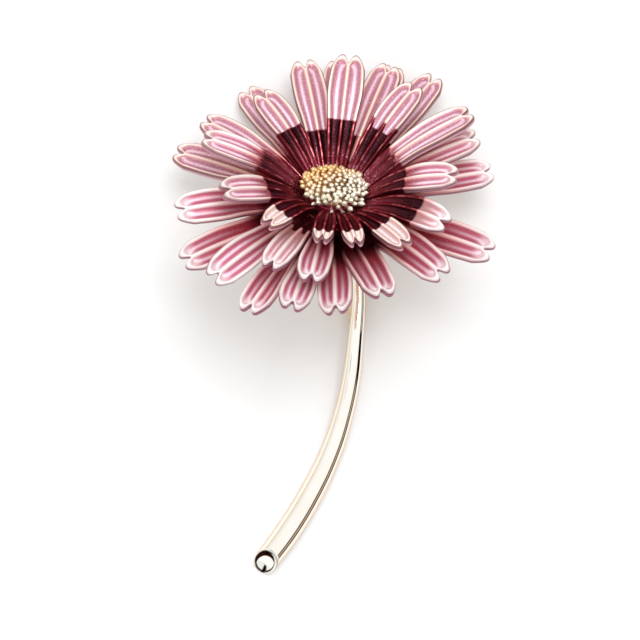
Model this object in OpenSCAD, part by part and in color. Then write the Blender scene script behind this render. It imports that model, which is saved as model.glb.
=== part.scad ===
// Daisy brooch: three nested castings of notched petals, a stamen dome, a curved stem and a pin.
// It lies on its back on z = 0. +X is right, +Y runs from the stem's end to the flower, +Z is up.

/* [Head] */
// Tilt of the flower's axis away from upright, towards +Y
head_tilt = 44; // [35:1:50]
// Turn of the flower's axis towards +X
head_roll = 6; // [0:1:12]
// Place of the flower's centre, left or right of the origin
head_x = -0.1; // [-3:0.1:3]
// Place of the flower's centre along the brooch
head_y = 20.9; // [18:0.1:24]
// Height of the flower's centre over the surface
head_z = 18.2; // [17:0.1:22]

/* [Petals] */
// Thickness of a petal
petal_t = 0.9; // [0.7:0.05:1.2]
// Height of the raised rims and the rib over the enamel channels
relief = 0.4; // [0:0.05:0.5]
// Depth of the notch between a petal's two lobes
notch_d = 1.5; // [0.5:0.1:2.5]
// Length over which a lobe's outer corner rounds off
shoulder_d = 2.6; // [1:0.1:4]

/* [Hubs] */
// Radius at which the inner petals leave their hub
root_r = 5; // [4.5:0.1:5.2]
// How much wider each hub is than the one in front of it
root_step = 0.5; // [0.3:0.1:0.6]
// Thickness of a hub
hub_t = 1.05; // [0.8:0.05:1.1]
// Distance from one hub's middle to the next
hub_pitch = 1.2; // [1.2:0.1:1.6]
// Height of the front hub's middle over the flower's centre
front_h = -0.8; // [-1.2:0.1:0]
// Radius of the hole through each hub
bore_r = 1.5; // [1.2:0.1:2]

/* [Dome] */
// Radius of the dome's skirt
dome_r = 4.6; // [4:0.1:4.8]
// Height of the skirt
skirt_h = 1; // [0.8:0.1:1.2]
// Height of the dome over its skirt
dome_h = 1.5; // [1.5:0.1:3]
// Lean of the domed top against its skirt
dome_lean = 6; // [0:1:7]
// Number of stamens
stamen_n = 110; // [60:1:130]
// Diameter of a stamen's head
stamen_d = 0.62; // [0.4:0.02:0.8]
// Length of a stamen
stamen_l = 1.2; // [0.8:0.05:1.5]

/* [Stem] */
// Angle between the stem's end cut and a square cut
cut_angle = 46; // [30:1:55]
// Width of the rim round the end
end_rim = 0.4; // [0.3:0.05:0.6]
// Depth of the recess inside the rim
end_recess = 0.35; // [0.2:0.05:0.5]
// Radius of the flat collar behind the flower
collar_r = 3; // [2.5:0.1:4]
// Thickness of the collar
collar_t = 1; // [0.8:0.1:1.4]

/* [Pin] */
// Length of the pin's bar
bar_l = 24; // [20:0.5:28]
// Width of the bar
bar_w = 2.6; // [2.2:0.1:3.2]
// Thickness of the bar
bar_t = 0.8; // [0.6:0.1:1]
// Height of the bar's top face over the surface
bar_top = 3.4; // [3.3:0.05:3.6]
// Radius of the needle
needle_r = 0.4; // [0.35:0.05:0.5]
// Height of the needle's middle over the surface
needle_z = 1.1; // [1:0.1:1.4]

/* [Hidden] */

// Columns of the petal tables. Azimuth runs from +X towards +Y, lift is the chord's rise over the
// hub's plane, bend is how far the petal arches down along its length, twist turns it about its
// length. Angles are in degrees, lengths in mm.
AZIMUTH = 0;
LIFT = 1;
LENGTH = 2;
BEND = 3;
TWIST = 4;
WIDTH = 5;

inner_petals = [
    [29, 29, 23.5, 40, -5, 6.2],
    [56, 32, 20.5, 40, 0, 5.8],
    [89, 38, 21.5, 34, -3, 6.2],
    [131, 22, 18.5, 40, -5, 5.8],
    [173, 23, 20, 40, 0, 5.8],
    [210, 28, 19, 45, -15, 5.4],
    [240, 30, 19, 55, -10, 4.4],
    [267, 31, 19, 45, 0, 3.8],
    [283, 30, 19, 45, 5, 3.8],
    [306, 24, 19, 40, 15, 4.6],
    [330, 22, 19.5, 50, 20, 5.6],
    [354, 32, 19, 50, 10, 5.8],
];

middle_petals = [
    [27, 19, 22.5, 30, 10, 5.8],
    [73, 26, 23, 30, 0, 6],
    [107, 24, 22.5, 30, -5, 6],
    [153, 12, 21.5, 30, -5, 5.8],
    [200, 8, 22.5, 30, -25, 6],
    [229, 0, 23, 30, -30, 6],
    [249, 18, 21.5, 40, 0, 5],
    [265, 17, 21.5, 35, 0, 5.6],
    [317, 9, 22, 30, 25, 6],
];

outer_petals = [
    [21, 6, 23, 20, 15, 6],
    [58, 22, 25.5, 20, 0, 6],
    [74, 16, 25.5, 20, 0, 6],
    [93, 17, 24.5, 20, -20, 5.4],
    [125, 5.5, 24, 20, -15, 6],
    [164, 3, 23, 20, -10, 6],
    [216, 1, 23.5, 20, -20, 6],
    [246, 0, 23.5, 20, 10, 6],
    [260, 8, 23, 20, -5, 5.8],
    [275, 9, 23, 20, 15, 6],
    [291, 16, 23, 20, 0, 6.2],
    [341, 6, 23.5, 20, 20, 6.4],
];

// A petal's width along its length: share of the length, share of the full width
width_shape = [
    [0, 0.45],
    [0.1, 0.55],
    [0.3, 0.72],
    [0.48, 0.84],
    [0.7, 1],
    [0.85, 0.96],
    [1, 0.84],
];

// Rows along a petal and columns across it
rows = 8;
cols = 8;
// Share of the length over which relief and twist grow from the hub
relief_in = 0.15;
twist_in = 0.6;
// Half width of the notch, and the share of the half width where a lobe's shoulder starts
notch_w = 0.2;
shoulder_at = 0.45;
shoulder_power = 2.2;
// Widest angle between two petals that a root is stretched over
widest_gap = 80;
// Clearance that each petal keeps from the edge of its wedge, away from the hub
wedge_gap = 0.08;

pink = [0.85, 0.6, 0.72];
rose = [0.75, 0.45, 0.58];
wine = [0.55, 0.2, 0.32];
gold = [0.93, 0.8, 0.6];

// Turns the flower's own frame, with its axis along +Z, into its place on the brooch
module on_head() {
    translate([head_x, head_y, head_z])
        rotate([0, 0, -head_roll])
            rotate([-head_tilt, 0, 0])
                children();
}

function share(v, whole) = min(1, max(0, v / whole));
function next_azimuth(t, i) = i < len(t) - 1 ? t[i + 1][AZIMUTH] : t[0][AZIMUTH] + 360;
function last_azimuth(t, i) = i > 0 ? t[i - 1][AZIMUTH] : t[len(t) - 1][AZIMUTH] - 360;
// Direction of the hub's corner before petal i, halfway to the petal before it
function corner_azimuth(t, i) = (t[i][AZIMUTH] + last_azimuth(t, i)) / 2;
function polar(r, a, h) = [r * cos(a), r * sin(a), h];

// Where along the petal's length a column ends, as a share: notch in the middle, round shoulders
function end_share(v, petal) =
    1 - (notch_d * exp(-pow(v / notch_w, 2))
         + shoulder_d * pow(max(0, abs(v) - shoulder_at) / (1 - shoulder_at), shoulder_power))
        / petal[LENGTH];

function rise_at(petal, s) = petal[LIFT] + petal[BEND] * (0.5 - s);
function arc_r(petal) = petal[LENGTH] / (petal[BEND] * PI / 180);
// Distance along and height over the hub's plane of the petal's middle line
function run_at(petal, s) = arc_r(petal) * (sin(rise_at(petal, 0)) - sin(rise_at(petal, s)));
function climb_at(petal, s) = arc_r(petal) * (cos(rise_at(petal, s)) - cos(rise_at(petal, 0)));

// Half width at a share s of the length, kept inside the petal's own wedge of the hub
function half_width(petal, s, half_gap, r0) =
    min(petal[WIDTH] / 2 * lookup(s, width_shape),
        (r0 + run_at(petal, s)) * tan(min(half_gap, widest_gap / 2)) - wedge_gap);

// A point of petal i on its front (side 1) or back (side -1), row j and column k. r0 and h are the
// hub's radius and height
function petal_point(t, i, r0, h, side, j, k) =
    let (petal = t[i],
         v = 2 * k / cols - 1,
         s = j / rows * end_share(v, petal),
         half_gap = (v < 0 ? petal[AZIMUTH] - last_azimuth(t, i) : next_azimuth(t, i) - petal[AZIMUTH]) / 2,
         across = half_width(petal, s, half_gap, r0) * v,
         rise = rise_at(petal, s),
         turn = petal[TWIST] * share(s, twist_in),
         lines = side > 0 ? relief / 2 * cos(360 * v) * share(s, relief_in) : 0,
         up = side * petal_t / 2 + lines,
         aside = across * cos(turn) - up * sin(turn),
         over = across * sin(turn) + up * cos(turn),
         r = r0 + run_at(petal, s) - over * sin(rise),
         a = petal[AZIMUTH])
    [r * cos(a) - aside * sin(a), r * sin(a) + aside * cos(a), h + climb_at(petal, s) + over * cos(rise)];

// A point of the hub's edge under petal i: on the straight line between the hub's two corners
function root_point(t, i, r0, h, side, k) =
    let (a0 = corner_azimuth(t, i),
         a1 = (t[i][AZIMUTH] + next_azimuth(t, i)) / 2,
         p0 = polar(r0, a0, h + side * hub_t / 2),
         p1 = polar(r0, a1, h + side * hub_t / 2))
    p0 + (p1 - p0) * k / cols;

function grid_point(t, i, r0, h, side, j, k) =
    j == 0 ? root_point(t, i, r0, h, side, k) : petal_point(t, i, r0, h, side, j, k);

// Index of a grid point. The last root point of a petal is the first one of the next petal
function at(t, i, side, j, k) =
    j == 0 && k == cols
        ? at(t, (i + 1) % len(t), side, 0, 0)
        : ((i * 2 + (side > 0 ? 1 : 0)) * (rows + 1) + j) * (cols + 1) + k;
function bore_at(t, i, side) =
    len(t) * 2 * (rows + 1) * (cols + 1) + 2 * (i % len(t)) + (side > 0 ? 1 : 0);

// A triangle of the front as it is, and its counterpart on the back turned over
function faced(side, face) = side > 0 ? face : [face[0], face[2], face[1]];

// The flat of the hub between petal i and the hole
function hub_faces(t, i, side) =
    let (low = bore_at(t, i, side), high = bore_at(t, i + 1, side))
    concat([faced(side, [at(t, i, side, 0, cols / 2), low, high])],
           [for (k = [0:cols - 1])
               faced(side, [at(t, i, side, 0, k + 1), at(t, i, side, 0, k), k < cols / 2 ? low : high])]);

// One casting, counted from the front: a flat hub with a hole, and the petals that grow from it
module petal_ring(t, layer) {
    n = len(t);
    h = front_h - layer * hub_pitch;
    r0 = root_r + layer * root_step;
    grid = [for (i = [0:n - 1], side = [-1, 1], j = [0:rows], k = [0:cols])
        grid_point(t, i, r0, h, side, j, k)];
    bore = [for (i = [0:n - 1], side = [-1, 1])
        polar(bore_r, corner_azimuth(t, i), h + side * hub_t / 2)];
    faces = [for (i = [0:n - 1], side = [-1, 1], j = [0:rows - 1], k = [0:cols - 1])
        each [faced(side, [at(t, i, side, j, k), at(t, i, side, j, k + 1), at(t, i, side, j + 1, k + 1)]),
              faced(side, [at(t, i, side, j, k), at(t, i, side, j + 1, k + 1), at(t, i, side, j + 1, k)])]];
    sides = [for (i = [0:n - 1], j = [0:rows - 1])
        each [[at(t, i, 1, j, 0), at(t, i, 1, j + 1, 0), at(t, i, -1, j + 1, 0)],
              [at(t, i, 1, j, 0), at(t, i, -1, j + 1, 0), at(t, i, -1, j, 0)],
              [at(t, i, 1, j + 1, cols), at(t, i, 1, j, cols), at(t, i, -1, j, cols)],
              [at(t, i, 1, j + 1, cols), at(t, i, -1, j, cols), at(t, i, -1, j + 1, cols)]]];
    tips = [for (i = [0:n - 1], k = [0:cols - 1])
        each [[at(t, i, 1, rows, k), at(t, i, 1, rows, k + 1), at(t, i, -1, rows, k + 1)],
              [at(t, i, 1, rows, k), at(t, i, -1, rows, k + 1), at(t, i, -1, rows, k)]]];
    hub = [for (i = [0:n - 1], side = [-1, 1]) each hub_faces(t, i, side)];
    hole = [for (i = [0:n - 1])
        each [[bore_at(t, i + 1, 1), bore_at(t, i, 1), bore_at(t, i, -1)],
              [bore_at(t, i + 1, 1), bore_at(t, i, -1), bore_at(t, i + 1, -1)]]];
    polyhedron(concat(grid, bore), concat(faces, sides, tips, hub, hole), convexity = 10);
}

module petals_inner() {
    color(pink) on_head() petal_ring(inner_petals, 0);
}

module petals_middle() {
    color(rose) on_head() petal_ring(middle_petals, 1);
}

module petals_outer() {
    color(wine) on_head() petal_ring(outer_petals, 2);
}

// Clearance between the stacked pieces
seat_gap = hub_pitch - hub_t;
dome_base = front_h + hub_t / 2 + seat_gap;
back_h = front_h - 2 * hub_pitch - hub_t / 2 - seat_gap;
post_r = bore_r - 0.4;
dome_sides = 24;
// Direction in which the domed top leans, and how far down its side the stamens go
lean_azimuth = 50;
stamen_edge = 75;
golden_angle = 137.508;
// A stamen's foot is this share of its head's width, and stands this deep in the dome
foot_share = 0.7;
foot_depth = 0.35;

module stamen(i) {
    out = stamen_edge * sqrt((i + 0.5) / stamen_n);
    turn = golden_angle * i;
    // The stamen stands square on the dome: this is the slope of its normal
    slope = atan2(sin(out) / dome_r, cos(out) / dome_h);
    translate([0, 0, skirt_h])
        rotate([0, 0, turn])
            translate([dome_r * sin(out), 0, dome_h * cos(out)])
                rotate([0, slope, 0])
                    translate([0, 0, -foot_depth])
                        hull() cylinder(h = foot_depth + stamen_l, d1 = stamen_d * foot_share, d2 = stamen_d, $fn = 5);
}

// The dome with its stamens, and the post that goes through the three hubs
module stamen_dome() {
    color(gold) on_head() {
        translate([0, 0, dome_base]) {
            cylinder(h = skirt_h, r = dome_r, $fn = dome_sides);
            rotate([0, 0, lean_azimuth])
                rotate([0, dome_lean, 0])
                    rotate([0, 0, -lean_azimuth]) {
                        intersection() {
                            translate([0, 0, skirt_h]) scale([1, 1, dome_h / dome_r])
                                sphere(r = dome_r, $fn = dome_sides);
                            translate([0, 0, skirt_h - 0.5])
                                cylinder(h = dome_h + 1, r = dome_r, $fn = dome_sides);
                        }
                        for (i = [0:stamen_n - 1]) stamen(i);
                    }
        }
        translate([0, 0, back_h + seat_gap]) cylinder(h = dome_base - back_h, r = post_r, $fn = 20);
    }
}

// The stem's middle line, from its cut end to just under the collar: x, y, z and radius
stem_line = [
    [-12, -43, 2.16, 2.1],
    [-7.65, -37.1, 2.25, 2.2],
    [-3.6, -30.4, 2.2, 2.1],
    [-0.4, -23.7, 2.35, 1.88],
    [1.8, -17, 2.9, 1.74],
    [3.2, -10.4, 3.95, 1.64],
    [3.9, -3.7, 4.95, 1.45],
    [4.4, 3, 4.8, 1.25],
    [4.1, 9.1, 5, 1.15],
    [2.9, 13.3, 7, 1.1],
    [1, 16.3, 10.8, 1.2],
];
stem_sides = 16;
stem_steps = 3;

axis = [sin(head_roll) * sin(head_tilt), cos(head_roll) * sin(head_tilt), cos(head_tilt)];
head = [head_x, head_y, head_z];
collar_top = head + axis * back_h;
collar_back = collar_top - axis * collar_t;
// The line runs on into the collar, so that the stem meets it squarely
stem_path = concat(stem_line, [concat(collar_back - axis * 0.6, [1.4])]);

// Smooth curve through the rows of a table: row i to row i + 1, u from 0 to 1
function clamped(t, i) = t[min(len(t) - 1, max(0, i))];
function smooth_row(t, i, u) =
    let (a = clamped(t, i - 1), b = t[i], c = clamped(t, i + 1), d = clamped(t, i + 2))
    0.5 * (2 * b + (c - a) * u + (2 * a - 5 * b + 4 * c - d) * u * u + (3 * b - a - 3 * c + d) * u * u * u);
function unit(v) = v / norm(v);
function xyz(row) = [row[0], row[1], row[2]];

// A ring of points round a centre, square to a direction and turned up by a shear towards it
function ring_points(centre, r, along, shear) =
    let (side = unit(cross(along, [0, 0, 1])), up = cross(side, along))
    [for (k = [0:stem_sides - 1])
        let (a = 360 * k / stem_sides)
        centre + r * (cos(a) * side + sin(a) * up) + r * sin(a) * shear * along];

// The curved stem with its cut, rimmed end and the collar that it carries, as one casting
module stem() {
    last = len(stem_path) - 1;
    middle = [for (i = [0:last - 1], step = [0:stem_steps - 1]) smooth_row(stem_path, i, step / stem_steps)];
    count = len(middle);
    first_along = unit(xyz(middle[1]) - xyz(middle[0]));
    cut = tan(cut_angle);
    // The recess in the end, from its floor's middle out to the rim
    sunk = end_recess * first_along;
    inside = middle[0][3] - end_rim;
    end_rings = [
        ring_points(xyz(middle[0]) + sunk, 0.02, first_along, cut),
        ring_points(xyz(middle[0]) + sunk, inside * 0.95, first_along, cut),
        ring_points(xyz(middle[0]), inside, first_along, cut),
        ring_points(xyz(middle[0]), middle[0][3], first_along, cut),
    ];
    // The cut's slant fades out over the first few rings of the tube
    tube_rings = [for (i = [1:count - 1])
        let (along = unit(xyz(middle[min(i + 1, count - 1)]) - xyz(middle[i - 1])))
        ring_points(xyz(middle[i]), middle[i][3], along, cut * max(0, 1 - i / stem_steps))];
    collar_rings = [
        ring_points(collar_back, 1.5, axis, 0),
        ring_points(collar_back, collar_r, axis, 0),
        ring_points(collar_top, collar_r, axis, 0),
        ring_points(collar_top, 0.02, axis, 0),
    ];
    rings = concat(end_rings, tube_rings, collar_rings);
    n = len(rings);
    skin = [for (j = [0:n - 2], k = [0:stem_sides - 1])
        let (a = j * stem_sides + k, b = j * stem_sides + (k + 1) % stem_sides)
        each [[a, b, b + stem_sides], [a, b + stem_sides, a + stem_sides]]];
    first_cap = [for (k = [stem_sides - 1:-1:0]) k];
    last_cap = [for (k = [0:stem_sides - 1]) (n - 1) * stem_sides + k];
    color(gold) polyhedron([for (ring = rings) each ring], concat(skin, [first_cap, last_cap]), convexity = 6);
}

// The bar's middle line: its lower end, and its turn against the brooch's length
bar_end = [4.1, -2.5];
bar_turn = 2;
hinge_l = 3;
catch_l = 2;
hook_gap = 0.35;

// The pin at the back, one plain piece: a bar, a hinge block, a needle and a hooked catch
module pin_back() {
    under = bar_top - bar_t;
    lug_h = under - needle_z + needle_r + 0.3;
    color(gold) translate([bar_end[0], bar_end[1], 0]) rotate([0, 0, bar_turn]) {
        translate([-bar_w / 2, 0, under]) cube([bar_w, bar_l, bar_t]);
        translate([-bar_w / 2, 0, under - lug_h]) cube([bar_w, hinge_l, lug_h]);
        translate([0, hinge_l - 0.5, needle_z])
            rotate([-90, 0, 0]) cylinder(h = bar_l - hinge_l - catch_l + 1.5, r = needle_r, $fn = 24);
        // The catch: a plate beside the needle and a foot under it
        translate([needle_r + hook_gap, bar_l - catch_l, needle_z - needle_r - hook_gap - 0.3])
            cube([0.5, catch_l, under - needle_z + needle_r + hook_gap + 0.3]);
        translate([-needle_r, bar_l - catch_l, needle_z - needle_r - hook_gap - 0.3])
            cube([2 * needle_r + hook_gap + 0.2, catch_l, 0.4]);
    }
}

petals_outer();
petals_middle();
petals_inner();
stamen_dome();
stem();
pin_back();
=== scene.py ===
"""Dresses the daisy brooch and sets it in a plain white studio.

Each sub-assembly is a class that builds its meshes in their place and dresses them in their finish.
Sizes are in millimetres and degrees, as on a maker's drawing, and MM turns lengths into metres. The
brooch lies on z = 0, with +Y from the stem's end to the flower and +Z up.
"""

import sys

import logging
import math
from dataclasses import asdict, dataclass, fields
from enum import Enum
from types import SimpleNamespace
from typing import Any, Iterable, Sequence, Union

import bmesh
import bpy
from mathutils import Matrix, Vector


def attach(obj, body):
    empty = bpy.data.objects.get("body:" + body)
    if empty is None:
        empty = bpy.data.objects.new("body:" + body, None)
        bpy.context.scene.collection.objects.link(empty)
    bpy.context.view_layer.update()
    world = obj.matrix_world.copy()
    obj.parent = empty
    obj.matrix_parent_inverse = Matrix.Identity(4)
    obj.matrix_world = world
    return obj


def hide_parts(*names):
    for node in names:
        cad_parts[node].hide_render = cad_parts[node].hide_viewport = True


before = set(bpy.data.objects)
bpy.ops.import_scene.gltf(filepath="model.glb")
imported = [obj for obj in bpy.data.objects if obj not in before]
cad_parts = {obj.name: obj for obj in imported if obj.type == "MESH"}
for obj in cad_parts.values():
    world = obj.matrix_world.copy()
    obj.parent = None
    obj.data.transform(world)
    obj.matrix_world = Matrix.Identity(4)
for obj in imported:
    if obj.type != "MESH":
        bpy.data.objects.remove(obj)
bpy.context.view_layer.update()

LOG = logging.getLogger("daisy_brooch")
MM = 0.001
BODY = "root"
SHARP_ANGLE = 40.0
ENAMEL_NUMBERS = ("dark", "step", "soft", "red", "pale")

Colour = tuple[float, float, float, float]
Number = Union["Value", float]
Range = tuple[float, float]

WHITE: Colour = (1.0, 1.0, 1.0, 1.0)


class Slot(Enum):
    """Names of the material slots."""

    ENAMEL = "enamel"
    STAMEN_GOLD = "stamen_gold"
    POLISHED_GOLD = "polished_gold"
    PIN_GOLD = "pin_gold"


def srgb(red: int, green: int, blue: int) -> Colour:
    """Turn a colour's screen values into linear light.

    Args:
        red: Red from 0 to 255.
        green: Green from 0 to 255.
        blue: Blue from 0 to 255.

    Returns:
        The linear colour with full alpha.
    """
    linear = [
        part / 255 / 12.92 if part / 255 <= 0.04045 else ((part / 255 + 0.055) / 1.055) ** 2.4
        for part in (red, green, blue)
    ]
    return (linear[0], linear[1], linear[2], 1.0)


class Value:
    """A number socket on which Python's operators add Math nodes."""

    def __init__(self, graph: "Graph", socket: bpy.types.NodeSocket) -> None:
        """Wrap a socket of a graph."""
        self.graph = graph
        self.socket = socket

    def __add__(self, other: Number) -> "Value":
        """Add a number or another value."""
        return self.graph.math("ADD", self, other)

    def __radd__(self, other: Number) -> "Value":
        """Add this value to a number."""
        return self.graph.math("ADD", other, self)

    def __sub__(self, other: Number) -> "Value":
        """Take a number or another value away."""
        return self.graph.math("SUBTRACT", self, other)

    def __rsub__(self, other: Number) -> "Value":
        """Take this value away from a number."""
        return self.graph.math("SUBTRACT", other, self)

    def __mul__(self, other: Number) -> "Value":
        """Multiply by a number or another value."""
        return self.graph.math("MULTIPLY", self, other)

    def __rmul__(self, other: Number) -> "Value":
        """Multiply a number by this value."""
        return self.graph.math("MULTIPLY", other, self)

    def __truediv__(self, other: Number) -> "Value":
        """Divide by a number or another value."""
        return self.graph.math("DIVIDE", self, other)

    def __rtruediv__(self, other: Number) -> "Value":
        """Divide a number by this value."""
        return self.graph.math("DIVIDE", other, self)

    def __pow__(self, other: Number) -> "Value":
        """Raise to a power."""
        return self.graph.math("POWER", self, other)

    def __neg__(self) -> "Value":
        """Change the sign."""
        return self.graph.math("MULTIPLY", self, -1.0)

    def __abs__(self) -> "Value":
        """Drop the sign."""
        return self.graph.math("ABSOLUTE", self)


class Graph:
    """Adds nodes to one shader or geometry tree."""

    def __init__(self, tree: bpy.types.NodeTree) -> None:
        """Work on a tree."""
        self.tree = tree

    def feed(self, socket: bpy.types.NodeSocket, source: Any) -> None:
        """Give a socket its value or its link.

        Args:
            socket: The input to feed.
            source: A value, a socket, or what the socket holds by default.
        """
        if isinstance(source, Value):
            source = source.socket
        if isinstance(source, bpy.types.NodeSocket):
            self.tree.links.new(source, socket)
        else:
            socket.default_value = source

    def node(
        self,
        kind: str,
        settings: dict[str, Any] | None = None,
        inputs: dict[str | int, Any] | None = None,
    ) -> bpy.types.Node:
        """Add one node.

        Args:
            kind: Blender's name of the node type.
            settings: The node's own properties, which are set first.
            inputs: Values or links of its sockets, by name or by number.

        Returns:
            The new node.
        """
        made = self.tree.nodes.new(kind)
        for name, setting in (settings or {}).items():
            setattr(made, name, setting)
        for key, source in (inputs or {}).items():
            if isinstance(key, int):
                socket = made.inputs[key]
            else:
                socket = next(item for item in made.inputs if item.name == key and item.enabled)
            self.feed(socket, source)
        return made

    @staticmethod
    def out(made: bpy.types.Node, name: str = "") -> bpy.types.NodeSocket:
        """Find a node's output, the first one in use if no name is given."""
        return next(item for item in made.outputs if item.enabled and name in ("", item.name))

    def value(self, made: bpy.types.Node, name: str = "") -> Value:
        """Wrap a node's number output."""
        return Value(self, self.out(made, name))

    def math(self, operation: str, *terms: Number) -> Value:
        """Add a Math node.

        Args:
            operation: The node's operation.
            terms: Its inputs in order.

        Returns:
            The result.
        """
        made = self.node("ShaderNodeMath", {"operation": operation}, dict(enumerate(terms)))
        return self.value(made)

    def sin(self, angle: Number) -> Value:
        """Sine of an angle in radians."""
        return self.math("SINE", angle)

    def cos(self, angle: Number) -> Value:
        """Cosine of an angle in radians."""
        return self.math("COSINE", angle)

    def root(self, number: Number) -> Value:
        """Square root, 0 for a negative number."""
        return self.math("SQRT", self.larger(number, 0.0))

    def smaller(self, first: Number, second: Number) -> Value:
        """Take the smaller of two numbers."""
        return self.math("MINIMUM", first, second)

    def larger(self, first: Number, second: Number) -> Value:
        """Take the larger of two numbers."""
        return self.math("MAXIMUM", first, second)

    def rounded_smaller(self, first: Number, second: Number, reach: float) -> Value:
        """Take the smaller of two numbers, with a round change from one to the other."""
        return self.math("SMOOTH_MIN", first, second, reach)

    def ramp(self, number: Number, start: Number, end: Number) -> Value:
        """Rise smoothly from 0 to 1.

        Args:
            number: What is measured.
            start: Where the rise starts.
            end: Where it ends.

        Returns:
            0 below the start, 1 past the end.
        """
        made = self.node(
            "ShaderNodeMapRange",
            {"interpolation_type": "SMOOTHSTEP"},
            {"Value": number, "From Min": start, "From Max": end},
        )
        return self.value(made)

    def mix(self, share: Number, first: Any, second: Any) -> bpy.types.NodeSocket:
        """Mix two colours.

        Args:
            share: 0 for the first colour, 1 for the second.
            first: A colour or a colour socket.
            second: A colour or a colour socket.

        Returns:
            The mixed colour.
        """
        made = self.node(
            "ShaderNodeMix",
            {"data_type": "RGBA", "clamp_factor": True},
            {"Factor": share, "A": first, "B": second},
        )
        return self.out(made)

    def vector(self, operation: str, *terms: Any) -> bpy.types.NodeSocket:
        """Add a Vector Math node and give its output in use."""
        made = self.node("ShaderNodeVectorMath", {"operation": operation}, dict(enumerate(terms)))
        return self.out(made)

    def scaled(self, vector: Any, factor: Number) -> bpy.types.NodeSocket:
        """Multiply a vector by a number."""
        inputs = {0: vector, "Scale": factor}
        return self.out(self.node("ShaderNodeVectorMath", {"operation": "SCALE"}, inputs))

    def joined(self, x: Number, y: Number, z: Number) -> bpy.types.NodeSocket:
        """Make a vector of three numbers."""
        return self.out(self.node("ShaderNodeCombineXYZ", inputs={0: x, 1: y, 2: z}))

    def parts(self, vector: Any) -> tuple[Value, Value, Value]:
        """Split a vector into its three numbers."""
        made = self.node("ShaderNodeSeparateXYZ", inputs={0: vector})
        return tuple(Value(self, output) for output in made.outputs)


class ShapeGraph(Graph):
    """A geometry node tree with named inputs and one geometry output."""

    def __init__(self, name: str) -> None:
        """Start an empty tree.

        Args:
            name: The tree's name.
        """
        super().__init__(bpy.data.node_groups.new(name, "GeometryNodeTree"))
        self.tree.is_modifier = True
        self.entry = self.tree.nodes.new("NodeGroupInput")

    def socket(self, name: str, kind: str) -> bpy.types.NodeSocket:
        """Add a named input of a socket type."""
        self.tree.interface.new_socket(name, in_out="INPUT", socket_type=kind)
        return self.entry.outputs[name]

    def number(self, name: str) -> Value:
        """Add a named number input."""
        return Value(self, self.socket(name, "NodeSocketFloat"))

    def position(self) -> tuple[Value, Value, Value]:
        """Give the three coordinates of each point."""
        return self.parts(self.out(self.node("GeometryNodeInputPosition")))

    def store(self, geometry: Any, name: str, number: Number) -> bpy.types.NodeSocket:
        """Write a number on each point.

        Args:
            geometry: What to write on.
            name: The attribute's name.
            number: Its value.

        Returns:
            The geometry with the attribute.
        """
        made = self.node(
            "GeometryNodeStoreNamedAttribute",
            {"data_type": "FLOAT", "domain": "POINT"},
            {"Geometry": geometry, "Name": name, "Value": number},
        )
        return self.out(made)

    def moved(self, geometry: Any, position: Any) -> bpy.types.NodeSocket:
        """Put each point at a new position."""
        inputs = {"Geometry": geometry, "Position": position}
        return self.out(self.node("GeometryNodeSetPosition", inputs=inputs))

    def smooth(self, geometry: Any) -> bpy.types.NodeSocket:
        """Shade smoothly."""
        return self.out(self.node("GeometryNodeSetShadeSmooth", inputs={"Geometry": geometry}))

    def together(self, pieces: Iterable[Any]) -> bpy.types.NodeSocket:
        """Join several geometries into one.

        Args:
            pieces: The geometries.

        Returns:
            All of them as one.
        """
        made = self.node("GeometryNodeJoinGeometry")
        for piece in pieces:
            self.tree.links.new(piece, made.inputs[0])
        return self.out(made)

    def placed(
        self, geometry: Any, turn: Matrix, place: Sequence[float], scale: float = MM
    ) -> bpy.types.NodeSocket:
        """Put a geometry that is made in its own frame in its place.

        Args:
            geometry: What is made in millimetres.
            turn: Its turn.
            place: Its place in millimetres.
            scale: MM for a result in metres, 1 to stay in millimetres.

        Returns:
            The geometry in its place.
        """
        made = self.node(
            "GeometryNodeTransform",
            inputs={
                "Geometry": geometry,
                "Translation": [part * scale for part in place],
                "Rotation": turn.to_euler(),
                "Scale": (scale, scale, scale),
            },
        )
        return self.out(made)

    def close(self, geometry: Any, material: Any = None) -> None:
        """End the tree, with the instances realized and the material set if there is one.

        Args:
            geometry: The result.
            material: The socket that holds its material.
        """
        if material is not None:
            real = self.node("GeometryNodeRealizeInstances", inputs={"Geometry": geometry})
            dressed = self.node(
                "GeometryNodeSetMaterial", inputs={"Geometry": self.out(real), "Material": material}
            )
            geometry = self.out(dressed)
        self.tree.interface.new_socket(
            "Geometry", in_out="OUTPUT", socket_type="NodeSocketGeometry"
        )
        self.node("NodeGroupOutput", inputs={"Geometry": geometry})


def grown(
    name: str, base: bpy.types.ID, shape: ShapeGraph, inputs: dict[str, Any]
) -> bpy.types.Object:
    """Run a geometry tree on a mesh or a curve and keep its result as a plain mesh.

    Args:
        name: The new piece's name.
        base: The mesh or curve that the tree starts from.
        shape: The tree.
        inputs: Its inputs by name.

    Returns:
        The new piece.
    """
    holder = bpy.data.objects.new(f"{name}_base", base)
    bpy.context.scene.collection.objects.link(holder)
    modifier = holder.modifiers.new("shape", "NODES")
    modifier.node_group = shape.tree
    for item in shape.tree.interface.items_tree:
        if item.item_type == "SOCKET" and item.name in inputs:
            modifier[item.identifier] = inputs[item.name]
    depsgraph = bpy.context.evaluated_depsgraph_get()
    result = bpy.data.meshes.new_from_object(
        holder.evaluated_get(depsgraph), preserve_all_data_layers=True, depsgraph=depsgraph
    )
    bpy.data.objects.remove(holder)
    result.name = name
    piece = bpy.data.objects.new(name, result)
    bpy.context.scene.collection.objects.link(piece)
    return piece


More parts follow.
